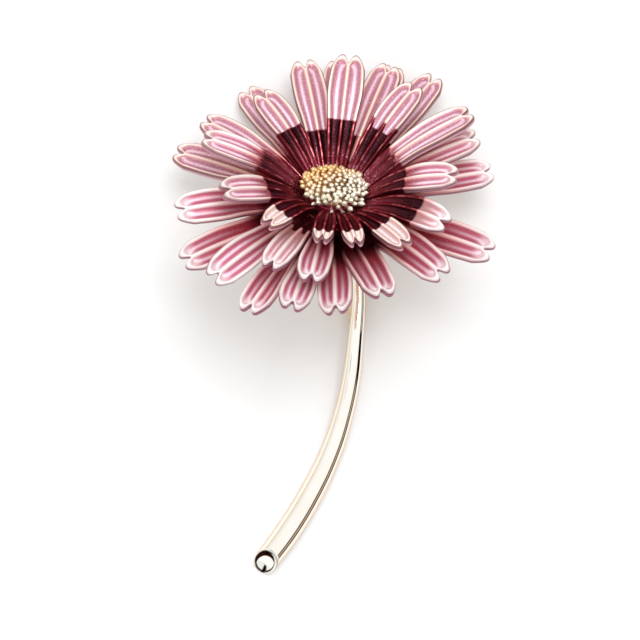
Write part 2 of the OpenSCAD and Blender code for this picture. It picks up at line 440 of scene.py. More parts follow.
def lathed(
    profile: Sequence[tuple[float, float]], sides: int, hollow: bool = False
) -> bmesh.types.BMesh:
    """Turn a profile round the Z axis.

    Args:
        profile: Radius and height of each point. A radius of 0 is a pole.
        sides: Number of sides.
        hollow: Whether the profile is a closed loop round a hole.

    Returns:
        The closed shape.
    """
    shape = bmesh.new()
    rings = []
    for radius, height in profile:
        if radius == 0:
            rings.append([shape.verts.new((0, 0, height))])
            continue
        angles = [math.tau * step / sides for step in range(sides)]
        spots = [(radius * math.cos(angle), radius * math.sin(angle), height) for angle in angles]
        rings.append([shape.verts.new(spot) for spot in spots])
    pairs = list(zip(rings, rings[1:]))
    if hollow:
        pairs.append((rings[-1], rings[0]))
    for low, high in pairs:
        for step in range(sides):
            after = (step + 1) % sides
            corners = [low[place % len(low)] for place in (step, after)]
            corners += [high[place % len(high)] for place in (after, step)]
            shape.faces.new(list(dict.fromkeys(corners)))
    bmesh.ops.recalc_face_normals(shape, faces=shape.faces)
    return shape


def block(low: Sequence[float], high: Sequence[float], bevel: float) -> bmesh.types.BMesh:
    """Make a box with rounded edges.

    Args:
        low: Its lowest corner.
        high: Its highest corner.
        bevel: Width of the rounded edges.

    Returns:
        The closed shape.
    """
    shape = bmesh.new()
    middle = [(a + b) / 2 for a, b in zip(low, high)]
    size = [b - a for a, b in zip(low, high)]
    place = Matrix.Translation(middle) @ Matrix.Diagonal((*size, 1))
    bmesh.ops.create_cube(shape, size=1, matrix=place)
    rounding = {"offset": bevel, "segments": 3, "profile": 0.5, "affect": "EDGES"}
    bmesh.ops.bevel(shape, geom=shape.edges[:], clamp_overlap=True, **rounding)
    return shape


def put(shape: bmesh.types.BMesh, place: Matrix) -> bmesh.types.BMesh:
    """Move a shape to its place and give it back."""
    bmesh.ops.transform(shape, matrix=place, verts=shape.verts)
    return shape


def combined(shape: bmesh.types.BMesh, other: bmesh.types.BMesh) -> bmesh.types.BMesh:
    """Add a second shape to a first one.

    Args:
        shape: The first shape.
        other: The second shape, which is freed.

    Returns:
        The first shape with the second one.
    """
    part = bpy.data.meshes.new("part")
    other.to_mesh(part)
    other.free()
    shape.from_mesh(part)
    bpy.data.meshes.remove(part)
    return shape


def kept(name: str, shape: bmesh.types.BMesh) -> bpy.types.Mesh:
    """Keep a shape as a smooth mesh.

    Args:
        name: The mesh's name.
        shape: The shape, which is freed.

    Returns:
        The mesh, with edges of more than SHARP_ANGLE degrees kept sharp.
    """
    result = bpy.data.meshes.new(name)
    shape.to_mesh(result)
    shape.free()
    result.shade_smooth()
    result.set_sharp_from_angle(angle=math.radians(SHARP_ANGLE))
    return result


def shown(name: str, mesh: bpy.types.Mesh, material: bpy.types.Material) -> bpy.types.Object:
    """Make an object of a mesh and give it its material.

    Args:
        name: The piece's name.
        mesh: Its mesh, in place.
        material: Its finish.

    Returns:
        The new piece.
    """
    mesh.materials.append(material)
    piece = bpy.data.objects.new(name, mesh)
    bpy.context.scene.collection.objects.link(piece)
    return piece


def settled(piece: bpy.types.Object, node: str) -> None:
    """Let a piece stand for a node of the frame, and report it.

    Args:
        piece: The finished piece.
        node: The node that it replaces.
    """
    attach(piece, BODY)
    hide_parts(node)
    LOG.info("%s: %d faces, stands for %s", piece.name, len(piece.data.polygons), node)


class FinishGraph(Graph):
    """The node tree of one material, with what the finishes read and the surface they end in."""

    def __init__(self, name: str) -> None:
        """Start an empty material.

        Args:
            name: The material's name.
        """
        self.material = bpy.data.materials.new(name)
        self.material.use_nodes = True
        self.material.node_tree.nodes.clear()
        super().__init__(self.material.node_tree)
        self.spot = self.out(self.node("ShaderNodeTexCoord"), "Object")

    def carried(self, name: str) -> Value:
        """Read a number that the mesh carries."""
        return self.value(self.node("ShaderNodeAttribute", {"attribute_name": name}), "Fac")

    def noise(self, scale: float, detail: float) -> Value:
        """Add a noise texture over the piece, with its scale in cycles for each metre."""
        inputs = {"Vector": self.spot, "Scale": scale, "Detail": detail}
        return self.value(self.node("ShaderNodeTexNoise", inputs=inputs), "Fac")

    def surface(
        self, inputs: dict[str, Any], height: Value, strength: float, depth: float
    ) -> bpy.types.Material:
        """End the tree in a Principled surface with a fine bump.

        Args:
            inputs: Values or links of the surface's sockets.
            height: The bump's height.
            strength: The bump's strength.
            depth: The bump's depth in millimetres.

        Returns:
            The material.
        """
        bumps = {"Strength": strength, "Distance": depth * MM, "Height": height}
        bump = self.node("ShaderNodeBump", inputs=bumps)
        shader = self.node("ShaderNodeBsdfPrincipled", inputs={"Normal": self.out(bump), **inputs})
        self.node("ShaderNodeOutputMaterial", inputs={"Surface": self.out(shader)})
        return self.material


class PetalGraph(FinishGraph):
    """The enamel's tree, with what it reads on a petal.

    edge and rib are distances in millimetres from the petal's outline and from its middle line,
    along is the share of its length, and level runs from -1 on the back to 1 on the front. The
    other numbers are the petal's own.
    """

    def __init__(self, name: str) -> None:
        """Start an empty material and read the petal.

        Args:
            name: The material's name.
        """
        super().__init__(name)
        self.edge, self.rib = self.carried("edge"), self.carried("rib")
        self.along, self.level = self.carried("along"), self.carried("level")
        self.dark, self.step, self.soft, self.red, self.pale = map(self.carried, ENAMEL_NUMBERS)


@dataclass(frozen=True)
class PetalEnamel:
    """Enamel in two channels between raised gold lines, near black at the petal's base.

    Widths are in millimetres and scales in cycles for each metre. A range is where a change starts
    and where it ends: a width, a share along the petal, a red number, a noise or a level. A share
    is how strongly a colour covers the one under it.
    """

    rim_width: float = 0.62
    rib_width: float = 0.42
    line_blur: float = 0.16
    # The crests of the raised lines carry a painted highlight
    rim_crest_place: float = 0.28
    rim_crest_range: Range = (0.08, 0.34)
    rib_crest_range: Range = (0.06, 0.38)
    narrowest_channel: float = 0.12
    # The pale streak down each channel is a painted satin highlight over the hollow channel's real
    # one
    streak_range: Range = (0.5, 0.98)
    streak_share: float = 1.15
    streak_loss: float = 0.45
    streak_loss_range: Range = (0.05, 0.5)
    grain_scale: float = 4400.0
    cloud_scale: float = 700.0
    speck_scale: float = 4200.0
    border_wobble: float = 0.02
    reddish_range: Range = (0.55, 0.95)
    shortest_flush: float = 0.002
    # Painted highlight on the tips of the petals with a red flush
    tip_highlight_range: Range = (0.84, 0.98)
    tip_highlight_share: float = 0.75
    # A thin line of painted shade along the rim's outer edge
    rim_shade_range: Range = (0.04, 0.18)
    rim_shade_share: float = 0.75
    rim_shade_loss: float = 0.6
    # On the petals with a red flush the raised lines are painted paler, a highlight
    line_highlight_share: float = 0.7
    copper_share: float = 0.95
    copper_crest_loss: float = 0.25
    mauve_grain: Range = (0.52, 0.72)
    mauve_share: float = 0.5
    pearl_grain: Range = (0.33, 0.46)
    pearl_share: float = 0.32
    pearl_loss: float = 0.8
    plum_range: Range = (0.08, 0.32)
    plum_flush: float = 0.3
    plum_share: float = 0.6
    # Fine specks of painted sheen in the dark base's channels
    painted_sheen_grain: Range = (0.5, 0.68)
    painted_sheen_share: float = 0.5
    # Painted glints on the crests of the dark base's lines, here and there
    line_glint_crest: Range = (0.75, 1.0)
    line_glint_cloud: Range = (0.42, 0.7)
    line_glint_share: float = 0.6
    garnet_range: Range = (0.95, 1.15)
    garnet_share: float = 0.85
    # Painted glints on the dark base near the disc
    painted_glint_noise: Range = (0.63, 0.7)
    painted_glint_range: Range = (0.1, 0.3)
    front_level: Range = (0.5, 0.85)
    # Dark lines of painted shade along the wall's upper and lower edges
    upper_shade_level: Range = (0.2, 0.5)
    lower_shade_level: Range = (-0.9, -0.7)
    wall_shade_share: float = 0.8
    back_level: Range = (-0.995, -0.95)
    metal: float = 0.12
    line_metal: float = 0.18
    dark_metal: float = 0.9
    roughness: float = 0.36
    line_polish: float = 0.08
    coat: float = 0.25
    coat_roughness: float = 0.12
    bump: float = 0.2
    bump_depth: float = 0.05
    cream: Colour = srgb(255, 247, 232)
    # Painted highlight on the raised lines' crests
    crest_highlight: Colour = srgb(250, 230, 221)
    peach: Colour = srgb(236, 174, 166)
    # Pale specks, and the painted highlight of tips, crests and lines on the petals with a red
    # flush
    pearl_and_highlight: Colour = srgb(255, 248, 250)
    # Painted shade along the rim's outer edge and the wall's upper and lower edges
    outline: Colour = srgb(88, 56, 58)
    # Painted satin highlight down the middle of each channel
    streak_highlight: Colour = srgb(253, 222, 237)
    mauve: Colour = srgb(178, 118, 138)
    pink: Colour = srgb(202, 110, 136)
    crimson: Colour = srgb(134, 18, 40)
    copper: Colour = srgb(214, 120, 120)
    # Painted glints on the dark base's lines
    line_glint: Colour = srgb(236, 142, 146)
    wine: Colour = srgb(116, 34, 42)
    plum: Colour = srgb(170, 70, 84)
    ink: Colour = srgb(44, 18, 22)
    # Specks of painted sheen
    painted_sheen: Colour = srgb(120, 60, 72)
    grazing: Colour = srgb(224, 150, 166)
    garnet: Colour = srgb(84, 12, 24)
    # Painted glints near the disc
    painted_glint: Colour = srgb(238, 176, 208)
    wall: Colour = srgb(212, 162, 178)
    deep_wall: Colour = srgb(158, 98, 120)
    back: Colour = srgb(226, 184, 150)

    def material(self) -> bpy.types.Material:
        """Build the node material.

        Returns:
            The material.
        """
        graph = PetalGraph("petal_enamel")
        reddish = graph.ramp(graph.red, *self.reddish_range)
        grain = graph.noise(self.grain_scale, 3.0)
        cloud = graph.noise(self.cloud_scale, 2.0)
        line, crest, streak = self.section(graph)
        border = graph.dark + graph.step * line + self.border_wobble * (cloud - 0.5)
        depth = 1 - graph.ramp(graph.along, border - graph.soft, border + graph.soft)

        # The painted streak highlight fades beyond the dark base on the petals without a red flush
        lost = graph.ramp(graph.along - border, *self.streak_loss_range) * (1 - reddish)
        fading = self.streak_share - self.streak_loss * lost
        light = self.light_zone(graph, line, crest, streak * fading, grain, reddish)
        deep = self.dark_zone(graph, crest, cloud, grain)
        front = graph.mix(depth, light, deep)
        wall = self.wall_zone(graph, depth, reddish)
        front_share = graph.ramp(graph.level, *self.front_level)
        back_share = 1 - graph.ramp(graph.level, *self.back_level)
        metal = self.metal + self.line_metal * line * (1 - reddish)
        inputs = {
            "Base Color": graph.mix(back_share, graph.mix(front_share, wall, front), self.back),
            "Metallic": graph.larger(graph.larger(metal, self.dark_metal * depth), back_share),
            "Roughness": self.roughness - self.line_polish * line,
            "Specular Tint": self.grazing,
            "Coat Weight": self.coat * (1 - depth),
            "Coat Roughness": self.coat_roughness,
        }
        return graph.surface(inputs, grain, self.bump, self.bump_depth)

    def section(self, graph: PetalGraph) -> tuple[Value, Value, Value]:
        """Read the petal's section across its width.

        Args:
            graph: The material's tree.

        Returns:
            The share of raised line, of its crest, and of the pale streak down each channel; crest
            and streak take painted highlights.
        """
        blur = self.line_blur
        rim_line = 1 - graph.ramp(graph.edge, self.rim_width - blur, self.rim_width + blur)
        rib_line = 1 - graph.ramp(graph.rib, self.rib_width - blur, self.rib_width + blur)
        # The crests, where a painted highlight goes
        from_crest = abs(graph.edge - self.rim_crest_place)
        rim_crest = 1 - graph.ramp(from_crest, *self.rim_crest_range)
        rib_crest = 1 - graph.ramp(graph.rib, *self.rib_crest_range)
        lines = self.rim_width + self.rib_width
        inside = graph.smaller(graph.edge - self.rim_width, graph.rib - self.rib_width)
        channel = graph.larger(0.5 * (graph.edge + graph.rib - lines), self.narrowest_channel)
        # Share of the pale streak, where the painted highlight goes
        streak = graph.ramp(inside / channel, *self.streak_range)
        return graph.larger(rim_line, rib_line), graph.larger(rim_crest, rib_crest), streak

    def light_zone(
        self,
        graph: PetalGraph,
        line: Value,
        crest: Value,
        streak: Value,
        grain: Value,
        reddish: Value,
    ) -> bpy.types.NodeSocket:
        """Colour the pink part of the petal, with painted highlights on streaks, crests and tips
        and painted shade along the rim's outer edge.

        Args:
            graph: The material's tree.
            line: Share of raised line.
            crest: Share of the lines' crest.
            streak: Share of the pale streak, a painted satin highlight.
            grain: A fine noise.
            reddish: 1 on the petals with a red flush, whose tips and lines get a pale painted
                highlight.

        Returns:
            The colour.
        """
        flush_reach = graph.larger(graph.red - graph.dark, self.shortest_flush)
        flush = 1 - graph.ramp(graph.along - graph.dark, 0.0, flush_reach)
        # Painted highlight on the tips of the petals with a red flush
        tip = reddish * graph.ramp(graph.along, *self.tip_highlight_range)
        # A line of painted shade along the rim's outer edge, fainter on the petals with a red flush
        rim_shade = 1 - graph.ramp(graph.edge, *self.rim_shade_range)
        rim_shade = rim_shade * (1 - self.rim_shade_loss * reddish)
        # Painted satin highlight: lilac down the middle of each channel
        channel = graph.mix(streak, graph.mix(reddish, self.mauve, self.pink), self.streak_highlight)
        channel = graph.mix(flush * (1 - streak * (1 - flush) ** 2), channel, self.crimson)
        # The petal's pale share paints a cream highlight into its channels
        channel = graph.mix(graph.pale, channel, self.cream)
        channel = graph.mix(self.tip_highlight_share * tip, channel, self.pearl_and_highlight)
        # Painted highlight: paler crests on the raised lines, paler still on the petals with a red
        # flush
        foot = graph.mix(self.line_highlight_share * reddish, self.peach, self.pearl_and_highlight)
        raised = graph.mix(crest, foot, self.crest_highlight)
        raised = graph.mix(crest * reddish, raised, self.pearl_and_highlight)
        coppery = flush * flush * (self.copper_share - self.copper_crest_loss * crest)
        raised = graph.mix(coppery, raised, self.copper)
        raised = graph.mix(self.rim_shade_share * rim_shade, raised, self.outline)
        light = graph.mix(line, channel, raised)

        dark_specks = (1 - line) * graph.ramp(grain, *self.mauve_grain)
        light = graph.mix(self.mauve_share * dark_specks, light, self.mauve)
        pale_specks = (1 - graph.ramp(grain, *self.pearl_grain)) * (1 - line)
        pale_specks = pale_specks * (1 - self.pearl_loss * reddish)
        return graph.mix(self.pearl_share * pale_specks, light, self.pearl_and_highlight)

    def dark_zone(
        self, graph: PetalGraph, crest: Value, cloud: Value, grain: Value
    ) -> bpy.types.NodeSocket:
        """Colour the near black base, with its wine red lines, painted glints on them and near the
        disc, and fine specks of painted sheen.

        Args:
            graph: The material's tree.
            crest: Share of the lines' crest.
            cloud: A broad noise.
            grain: A fine noise.

        Returns:
            The colour.
        """
        # The plum next to the disc reaches further out on the petals with a red flush
        start, end = self.plum_range
        inner = 1 - graph.ramp(graph.along, start, end + self.plum_flush * graph.red)
        # Fine specks of painted sheen in the channels
        specks = graph.ramp(grain, *self.painted_sheen_grain)
        channel = graph.mix(self.painted_sheen_share * specks, self.ink, self.painted_sheen)
        channel = graph.mix(self.plum_share * inner, channel, self.plum)
        # Painted glints on the lines' crests, here and there
        bright = graph.ramp(crest, *self.line_glint_crest) * graph.ramp(cloud, *self.line_glint_cloud)
        raised = graph.mix(self.line_glint_share * bright, self.wine, self.line_glint)
        deep = graph.mix(crest, channel, raised)
        flushed = graph.ramp(graph.red, *self.garnet_range)
        deep = graph.mix(self.garnet_share * flushed, deep, self.garnet)
        # Painted glints near the disc
        glints = graph.ramp(graph.noise(self.speck_scale, 1.0), *self.painted_glint_noise)
        near_disc = 1 - graph.ramp(graph.along, *self.painted_glint_range)
        return graph.mix(glints * near_disc, deep, self.painted_glint)

    def wall_zone(self, graph: PetalGraph, depth: Value, reddish: Value) -> bpy.types.NodeSocket:
        """Colour the petal's outer wall, with painted shade along its upper and its lower edge.

        Args:
            graph: The material's tree.
            depth: 1 at the near black base.
            reddish: 1 on the petals with a red flush, whose walls are deeper.

        Returns:
            The colour.
        """
        # Dark lines of painted shade along the wall's upper and lower edges
        upper = graph.ramp(graph.level, *self.upper_shade_level)
        lower = 1 - graph.ramp(graph.level, *self.lower_shade_level)
        wall = graph.mix(reddish, self.wall, self.deep_wall)
        wall = graph.mix(self.wall_shade_share * graph.larger(upper, lower), wall, self.outline)
        return graph.mix(depth, wall, self.wine)


@dataclass(frozen=True)
class PlatedGold:
    """Gold plate of one colour, with faint clouding and fine scratches.

    A mesh may carry groove, 1 where painted shade darkens a groove.
    """

    name: str
    colour: Colour
    deep: Colour
    roughness: float
    edge: Colour = srgb(236, 184, 136)
    # Painted shade in the groove of the stem's dished end
    groove_shade: Colour = srgb(34, 20, 18)
    cloud_scale: float = 260.0
    cloud_range: Range = (0.35, 0.75)
    cloud_share: float = 0.3
    scratch_scale: float = 5200.0
    cloud_roughness: float = 0.04
    bump: float = 0.03
    bump_depth: float = 0.02

    def material(self) -> bpy.types.Material:
        """Build the node material.

        Returns:
            The material.
        """
        graph = FinishGraph(self.name)
        cloud = graph.noise(self.cloud_scale, 3.0)
        clouding = self.cloud_share * graph.ramp(cloud, *self.cloud_range)
        gold = graph.mix(clouding, self.colour, self.deep)
        inputs = {
            "Base Color": graph.mix(graph.carried("groove"), gold, self.groove_shade),
            "Specular Tint": self.edge,
            "Metallic": 1.0,
            "Roughness": self.roughness + self.cloud_roughness * cloud,
        }
        scratches = graph.noise(self.scratch_scale, 2.0)
        return graph.surface(inputs, scratches, self.bump, self.bump_depth)


POLISHED_GOLD = PlatedGold(
    "polished_gold", colour=srgb(255, 252, 245), deep=srgb(253, 242, 224), roughness=0.03
)
PLAIN_GOLD = PlatedGold(
    "pin_gold", colour=srgb(232, 200, 150), deep=srgb(214, 176, 120), roughness=0.2
)


@dataclass(frozen=True)
class StamenGold:
    """Satin gold of the stamens, amber to cream, over a deep gold bed in a burgundy skirt.

    The mesh carries pale, 0 for amber and 1 for cream, a painted reflection across the disc,
    height, from 0 at a stamen's foot to 1 at its head, with painted shade at the feet and on the
    bed, and enamelled, 1 where enamel covers it.
    """

    # Painted shade on the stamens' feet and the bed, gold on the amber side and brown on the cream
    # side
    deep: Colour = srgb(204, 140, 78)
    foot_shade: Colour = srgb(120, 92, 62)
    # Painted reflection across the stamens, from amber on the far left to cream on the near right
    amber: Colour = srgb(244, 204, 142)
    cream: Colour = srgb(255, 250, 232)
    burgundy: Colour = srgb(150, 34, 64)
    grain_scale: float = 7000.0
    grain_share: float = 0.3
    grain_roughness: float = 0.06
    # Where the painted shade of the feet ends
    foot_range: Range = (0.1, 0.5)
    metal: float = 0.7
    enamel_metal_loss: float = 0.4
    roughness: float = 0.3
    bump: float = 0.1
    bump_depth: float = 0.03

    def material(self) -> bpy.types.Material:
        """Build the node material.

        Returns:
            The material.
        """
        graph = FinishGraph("stamen_gold")
        pale, enamelled = graph.carried("pale"), graph.carried("enamelled")
        grain = graph.noise(self.grain_scale, 2.0)
        # Painted reflection: the pale share turns amber into cream
        gold = graph.mix(pale + self.grain_share * (grain - 0.5), self.amber, self.cream)
        # Painted shade at the feet and on the bed
        foot = graph.mix(pale, self.deep, self.foot_shade)
        gold = graph.mix(graph.ramp(graph.carried("height"), *self.foot_range), foot, gold)
        inputs = {
            "Base Color": graph.mix(enamelled, gold, self.burgundy),
            "Metallic": self.metal - self.enamel_metal_loss * enamelled,
            "Roughness": self.roughness + self.grain_roughness * grain,
        }
        return graph.surface(inputs, grain, self.bump, self.bump_depth)


@dataclass(frozen=True)
class TablePaper:
    """Smooth white paper on a light table, with the faintest clouding."""

    white: Colour = srgb(228, 229, 230)
    grey: Colour = srgb(222, 222, 222)
    glow: float = 0.13
    roughness: float = 0.6
    gloss: float = 0.2
    cloud_scale: float = 6.0
    cloud_share: float = 0.25
    fibre_scale: float = 3000.0
    bump: float = 0.02
    bump_depth: float = 0.02

    def material(self) -> bpy.types.Material:
        """Build the node material.

        Returns:
            The material.
        """
        graph = FinishGraph("table_white")
        clouding = self.cloud_share * graph.noise(self.cloud_scale, 2.0)
        inputs = {
            "Base Color": graph.mix(clouding, self.white, self.grey),
            "Roughness": self.roughness,
            "Specular IOR Level": self.gloss,
            "Emission Color": WHITE,
            "Emission Strength": self.glow,
        }
        fibres = graph.noise(self.fibre_scale, 2.0)
        return graph.surface(inputs, fibres, self.bump, self.bump_depth)


@dataclass(frozen=True)
class Head:
    """The flower's own frame, with its axis along +Z, and its place on the brooch."""

    tilt: float = 44.0
    roll: float = 6.0
    place: tuple[float, float, float] = (-0.1, 20.9, 18.2)

    def turn(self) -> Matrix:
        """Give the turn from the flower's own frame to the brooch's."""
        roll = Matrix.Rotation(-math.radians(self.roll), 4, "Z")
        return roll @ Matrix.Rotation(-math.radians(self.tilt), 4, "X")

    def point(self, height: float) -> Vector:
        """Give the point of the flower's axis at a height over its centre."""
        return Vector(self.place) + self.turn() @ Vector((0, 0, height))


@dataclass(frozen=True)
class Stack:
    """The hubs of the three castings, stacked behind each other."""

    root_r: float = 5.0
    root_step: float = 0.5
    hub_t: float = 1.05
    hub_pitch: float = 1.2
    front_h: float = -0.8
    bore_r: float = 1.5

    def height(self, layer: int) -> float:
        """Give the height of a hub's middle, counted from the front."""
        return self.front_h - layer * self.hub_pitch

    def radius(self, layer: int) -> float:
        """Give the radius at which a hub's petals start."""
        return self.root_r + layer * self.root_step

    def dome_base(self) -> float:
        """Give the height at which the dome starts."""
        return self.front_h + self.hub_t / 2 + self.hub_pitch - self.hub_t

    def back(self) -> float:
        """Give the height of the collar's front face."""
        return self.height(2) - self.hub_t / 2 - (self.hub_pitch - self.hub_t)


@dataclass(frozen=True)
class Petal:
    """One petal: its direction, curve and size, and how its enamel changes along it.

    azimuth is its bearing round the flower, lift its rise at half its length, bend how much the
    rise falls from root to tip, and twist how far its section is turned at the tip.

    dark is the share of the length at which the near black base ends, step how much further out it
    ends on the raised lines, soft half the width of that change, red the share at which a red flush
    ends, and pale the share of cream, a painted highlight, in the channels. root is how much
    broader the petal's root is, as a share of the width, and spread how many degrees it reaches
    past its share of the gaps.
    """

    azimuth: float
    lift: float
    length: float
    bend: float
    twist: float
    width: float
    dark: float = 0.35
    step: float = 0.0
    soft: float = 0.012
    red: float = 0.0
    pale: float = 0.0
    root: float = 0.0
    spread: float = 0.0


INNER_PETALS = (
    Petal(29, 29, 23.5, 40, -5, 6.2, dark=0.34, step=0.03, red=0.45),
    Petal(56, 32, 20.5, 40, 0, 5.8, dark=0.49, step=0.08),
    Petal(89, 38, 21.5, 34, -3, 6.2, dark=0.46),
    Petal(131, 22, 18.5, 40, -5, 5.8, dark=0.53, red=0.5),
    Petal(173, 23, 20, 40, 0, 5.8, dark=0.47, step=0.03, soft=0.03, red=0.72),
    Petal(210, 28, 19, 45, -15, 5.4, dark=0.51, step=0.04, red=0.75),
    Petal(240, 30, 19, 55, -10, 4.4, dark=0.75, pale=0.5),
    Petal(267, 31, 19, 45, 0, 3.8, dark=0.84, pale=0.85),
    Petal(283, 30, 19, 45, 5, 3.8, dark=0.79, pale=0.8),
    Petal(306, 24, 19, 40, 15, 4.6, dark=0.62, pale=0.4),
    Petal(330, 22, 19.5, 50, 20, 5.6, dark=0.7, red=0.95, pale=0.2),
    Petal(354, 32, 19, 50, 10, 5.8, dark=0.52, red=0.75),
)
MIDDLE_PETALS = (
    Petal(27, 19, 22.5, 30, 10, 5.8, dark=0.45, soft=0.08, red=0.8),
    Petal(73, 26, 23, 30, 0, 6, dark=0.36, step=-0.2),
    Petal(107, 24, 22.5, 30, -5, 6, dark=0.39),
    Petal(153, 12, 21.5, 30, -5, 5.8, dark=0.31, soft=0.05, red=0.62),
    Petal(200, 8, 22.5, 30, -25, 6, dark=0.36, soft=0.05, red=1.1),
    Petal(229, 0, 23, 30, -30, 6, dark=0.3, soft=0.08, red=0.9),
    Petal(249, 18, 21.5, 40, 0, 5, dark=0.46, step=-0.05, red=0.92, pale=0.18),
    Petal(265, 17, 21.5, 35, 0, 5.6, dark=0.5, soft=0.12, red=1.1),
    Petal(317, 9, 22, 30, 25, 6, dark=0.45, soft=0.1, red=1.35, root=0.5),
)
OUTER_PETALS = (
    Petal(21, 6, 23, 20, 15, 6, dark=0.4, soft=0.1, red=1.2),
    Petal(58, 22, 25.5, 20, 0, 6, dark=0.4),
    Petal(74, 16, 25.5, 20, 0, 6, dark=0.3),
    Petal(93, 17, 24.5, 20, -20, 5.4, dark=0.3),
    Petal(125, 5.5, 24, 20, -15, 6, dark=0.3, red=0.6),
    Petal(164, 3, 23, 20, -10, 6, dark=0.3, red=0.6),
    Petal(216, 1, 23.5, 20, -20, 6, dark=0.38, soft=0.1, red=1.35, root=0.35),
    Petal(246, 0, 23.5, 20, 10, 6, dark=0.44, soft=0.12, red=1.25),
    Petal(260, 8, 23, 20, -5, 5.8, dark=0.42, soft=0.12, red=1.0),
    Petal(275, 9, 23, 20, 15, 6, dark=0.46, soft=0.14, red=1.15, spread=12),
    Petal(291, 16, 23, 20, 0, 6.2, dark=0.48, soft=0.14, red=1.25, root=0.6, spread=8),
    Petal(341, 6, 23.5, 20, 20, 6.4, dark=0.42, soft=0.1, red=1.38, root=0.35),
)


@dataclass(frozen=True)
class PetalForm:
    """What all petals share: their section, their notched end and their width along the length.

    Slopes and feet are distances from the outline or from the middle line, and a reach is a share
    of the length. The wedge is the room between a petal's neighbours. widths gives the share of the
    full width at shares of the length.
    """

    thickness: float = 0.9
    relief: float = 0.4
    bevel: float = 0.14
    notch_depth: float = 1.5
    notch_width: float = 0.2
    shoulder_depth: float = 2.6
    shoulder_start: float = 0.45
    shoulder_power: float = 2.2
    wedge_gap: float = 0.08
    widest_gap: float = 80.0
    wedge_round: float = 0.25
    root_overlap: float = 0.02
    root_reach: float = 0.8
    twist_reach: float = 0.6
    row_crowding: float = 1.35
    end_stretch: float = 0.62
    edge_round: float = 0.5
    line_reach: float = 0.1
    rim_slope: Range = (0.3, 0.85)
    rib_slope: Range = (0.1, 0.62)
    rim_foot: float = 0.6
    rib_foot: float = 0.42
    hollow_width: float = 0.9
    hollow_slope: float = 0.12
    widths: tuple[tuple[float, float], ...] = (
        (0, 0.45), (0.1, 0.55), (0.3, 0.72), (0.48, 0.84), (0.7, 1.0), (0.85, 0.96), (1, 0.84),
    )
    columns: int = 41
    rows: int = 71
    layers: int = 7

    def tree(self) -> ShapeGraph:
        """Build the geometry tree that bends a fine block into one petal, in the flower's frame.

        Returns:
            The tree, whose inputs have the names of the petal's fields.
        """
        graph = ShapeGraph("petal")
        own = SimpleNamespace(
            **{field.name: graph.number(field.name.title()) for field in fields(Petal)}
        )
        gap_before, gap_after = graph.number("Gap Before"), graph.number("Gap After")
        root_r, height = graph.number("Root Radius"), graph.number("Hub Height")
        block_node = graph.node(
            "GeometryNodeMeshCube",
            inputs={
                "Size": (2, 2, 2),
                "Vertices X": self.columns,
                "Vertices Y": self.rows,
                "Vertices Z": self.layers,
            },
        )
        x, y, z = graph.position()
        # Columns crowd at the raised lines and rows at the tip. Minus keeps the faces outwards
        v = 0.5 / math.tau * graph.sin(math.tau * x) - x
        t = 1 - graph.larger(0.5 - 0.5 * y, 0.0) ** self.row_crowding
        level = graph.sin(math.pi / 2 * z)
        inset = self.bevel * (1 - graph.cos(math.pi / 2 * z))

        side = abs(v)
        notch = self.notch_depth * graph.math("EXPONENT", -(v / self.notch_width) ** 2)
        corner = graph.larger(side - self.shoulder_start, 0.0) / (1 - self.shoulder_start)
        end = 1 - (notch + self.shoulder_depth * corner ** self.shoulder_power) / own.length
        s = (t * (1 + self.root_overlap) - self.root_overlap) * end * (1 - inset / own.length)

        rise_root = math.radians(1) * (own.lift + 0.5 * own.bend)
        rise = math.radians(1) * (own.lift + own.bend * (0.5 - s))
        arc = own.length / (math.radians(1) * own.bend)
        run = arc * (graph.sin(rise_root) - graph.sin(rise))
        climb = arc * (graph.cos(rise) - graph.cos(rise_root))

        after = graph.math("GREATER_THAN", v, 0.0)
        gap = gap_before + (gap_after - gap_before) * after + own.spread
        slope = graph.math("TANGENT", math.radians(0.5) * graph.smaller(gap, self.widest_gap))
        wedge = (root_r + run) * slope - self.wedge_gap
        share = self.width_at(graph, s) + own.root * (1 - graph.ramp(s, 0.0, self.root_reach))
        half = graph.rounded_smaller(0.5 * own.width * share, wedge, self.wedge_round)
        to_end = (1 - t) * own.length * self.end_stretch
        edge = graph.rounded_smaller((1 - side) * half, to_end, self.edge_round)
        rib = side * half

        across = v * (half - inset)
        lines = self.line_height(graph, edge, rib) * graph.ramp(s, 0.0, self.line_reach)
        up = level * 0.5 * self.thickness + lines * graph.larger(z, 0.0) ** 2
        twisted = graph.smaller(graph.larger(s / self.twist_reach, 0.0), 1.0)
        turn = math.radians(1) * own.twist * twisted
        aside = across * graph.cos(turn) - up * graph.sin(turn)
        over = across * graph.sin(turn) + up * graph.cos(turn)
        r = root_r + run - over * graph.sin(rise)
        bearing = math.radians(1) * own.azimuth
        place = graph.joined(
            r * graph.cos(bearing) - aside * graph.sin(bearing),
            r * graph.sin(bearing) + aside * graph.cos(bearing),
            height + climb + over * graph.cos(rise),
        )
        marks = {"edge": edge, "rib": rib, "along": s, "level": level}
        marks.update({name: getattr(own, name) for name in ENAMEL_NUMBERS})
        geometry = graph.out(block_node, "Mesh")
        for name, number in marks.items():
            geometry = graph.store(geometry, name, number)
        graph.close(graph.smooth(graph.moved(geometry, place)))
        return graph

    def width_at(self, graph: Graph, s: Value) -> Value:
        """Give the share of the full width at a share of the length.

        Args:
            graph: The tree.
            s: Share of the length.

        Returns:
            The share of the width.
        """
        made = graph.node("ShaderNodeFloatCurve", inputs={"Value": s})
        curve = made.mapping.curves[0]
        curve.points[0].location = self.widths[0]
        curve.points[1].location = self.widths[-1]
        for point in self.widths[1:-1]:
            curve.points.new(*point)
        made.mapping.update()
        return graph.value(made)

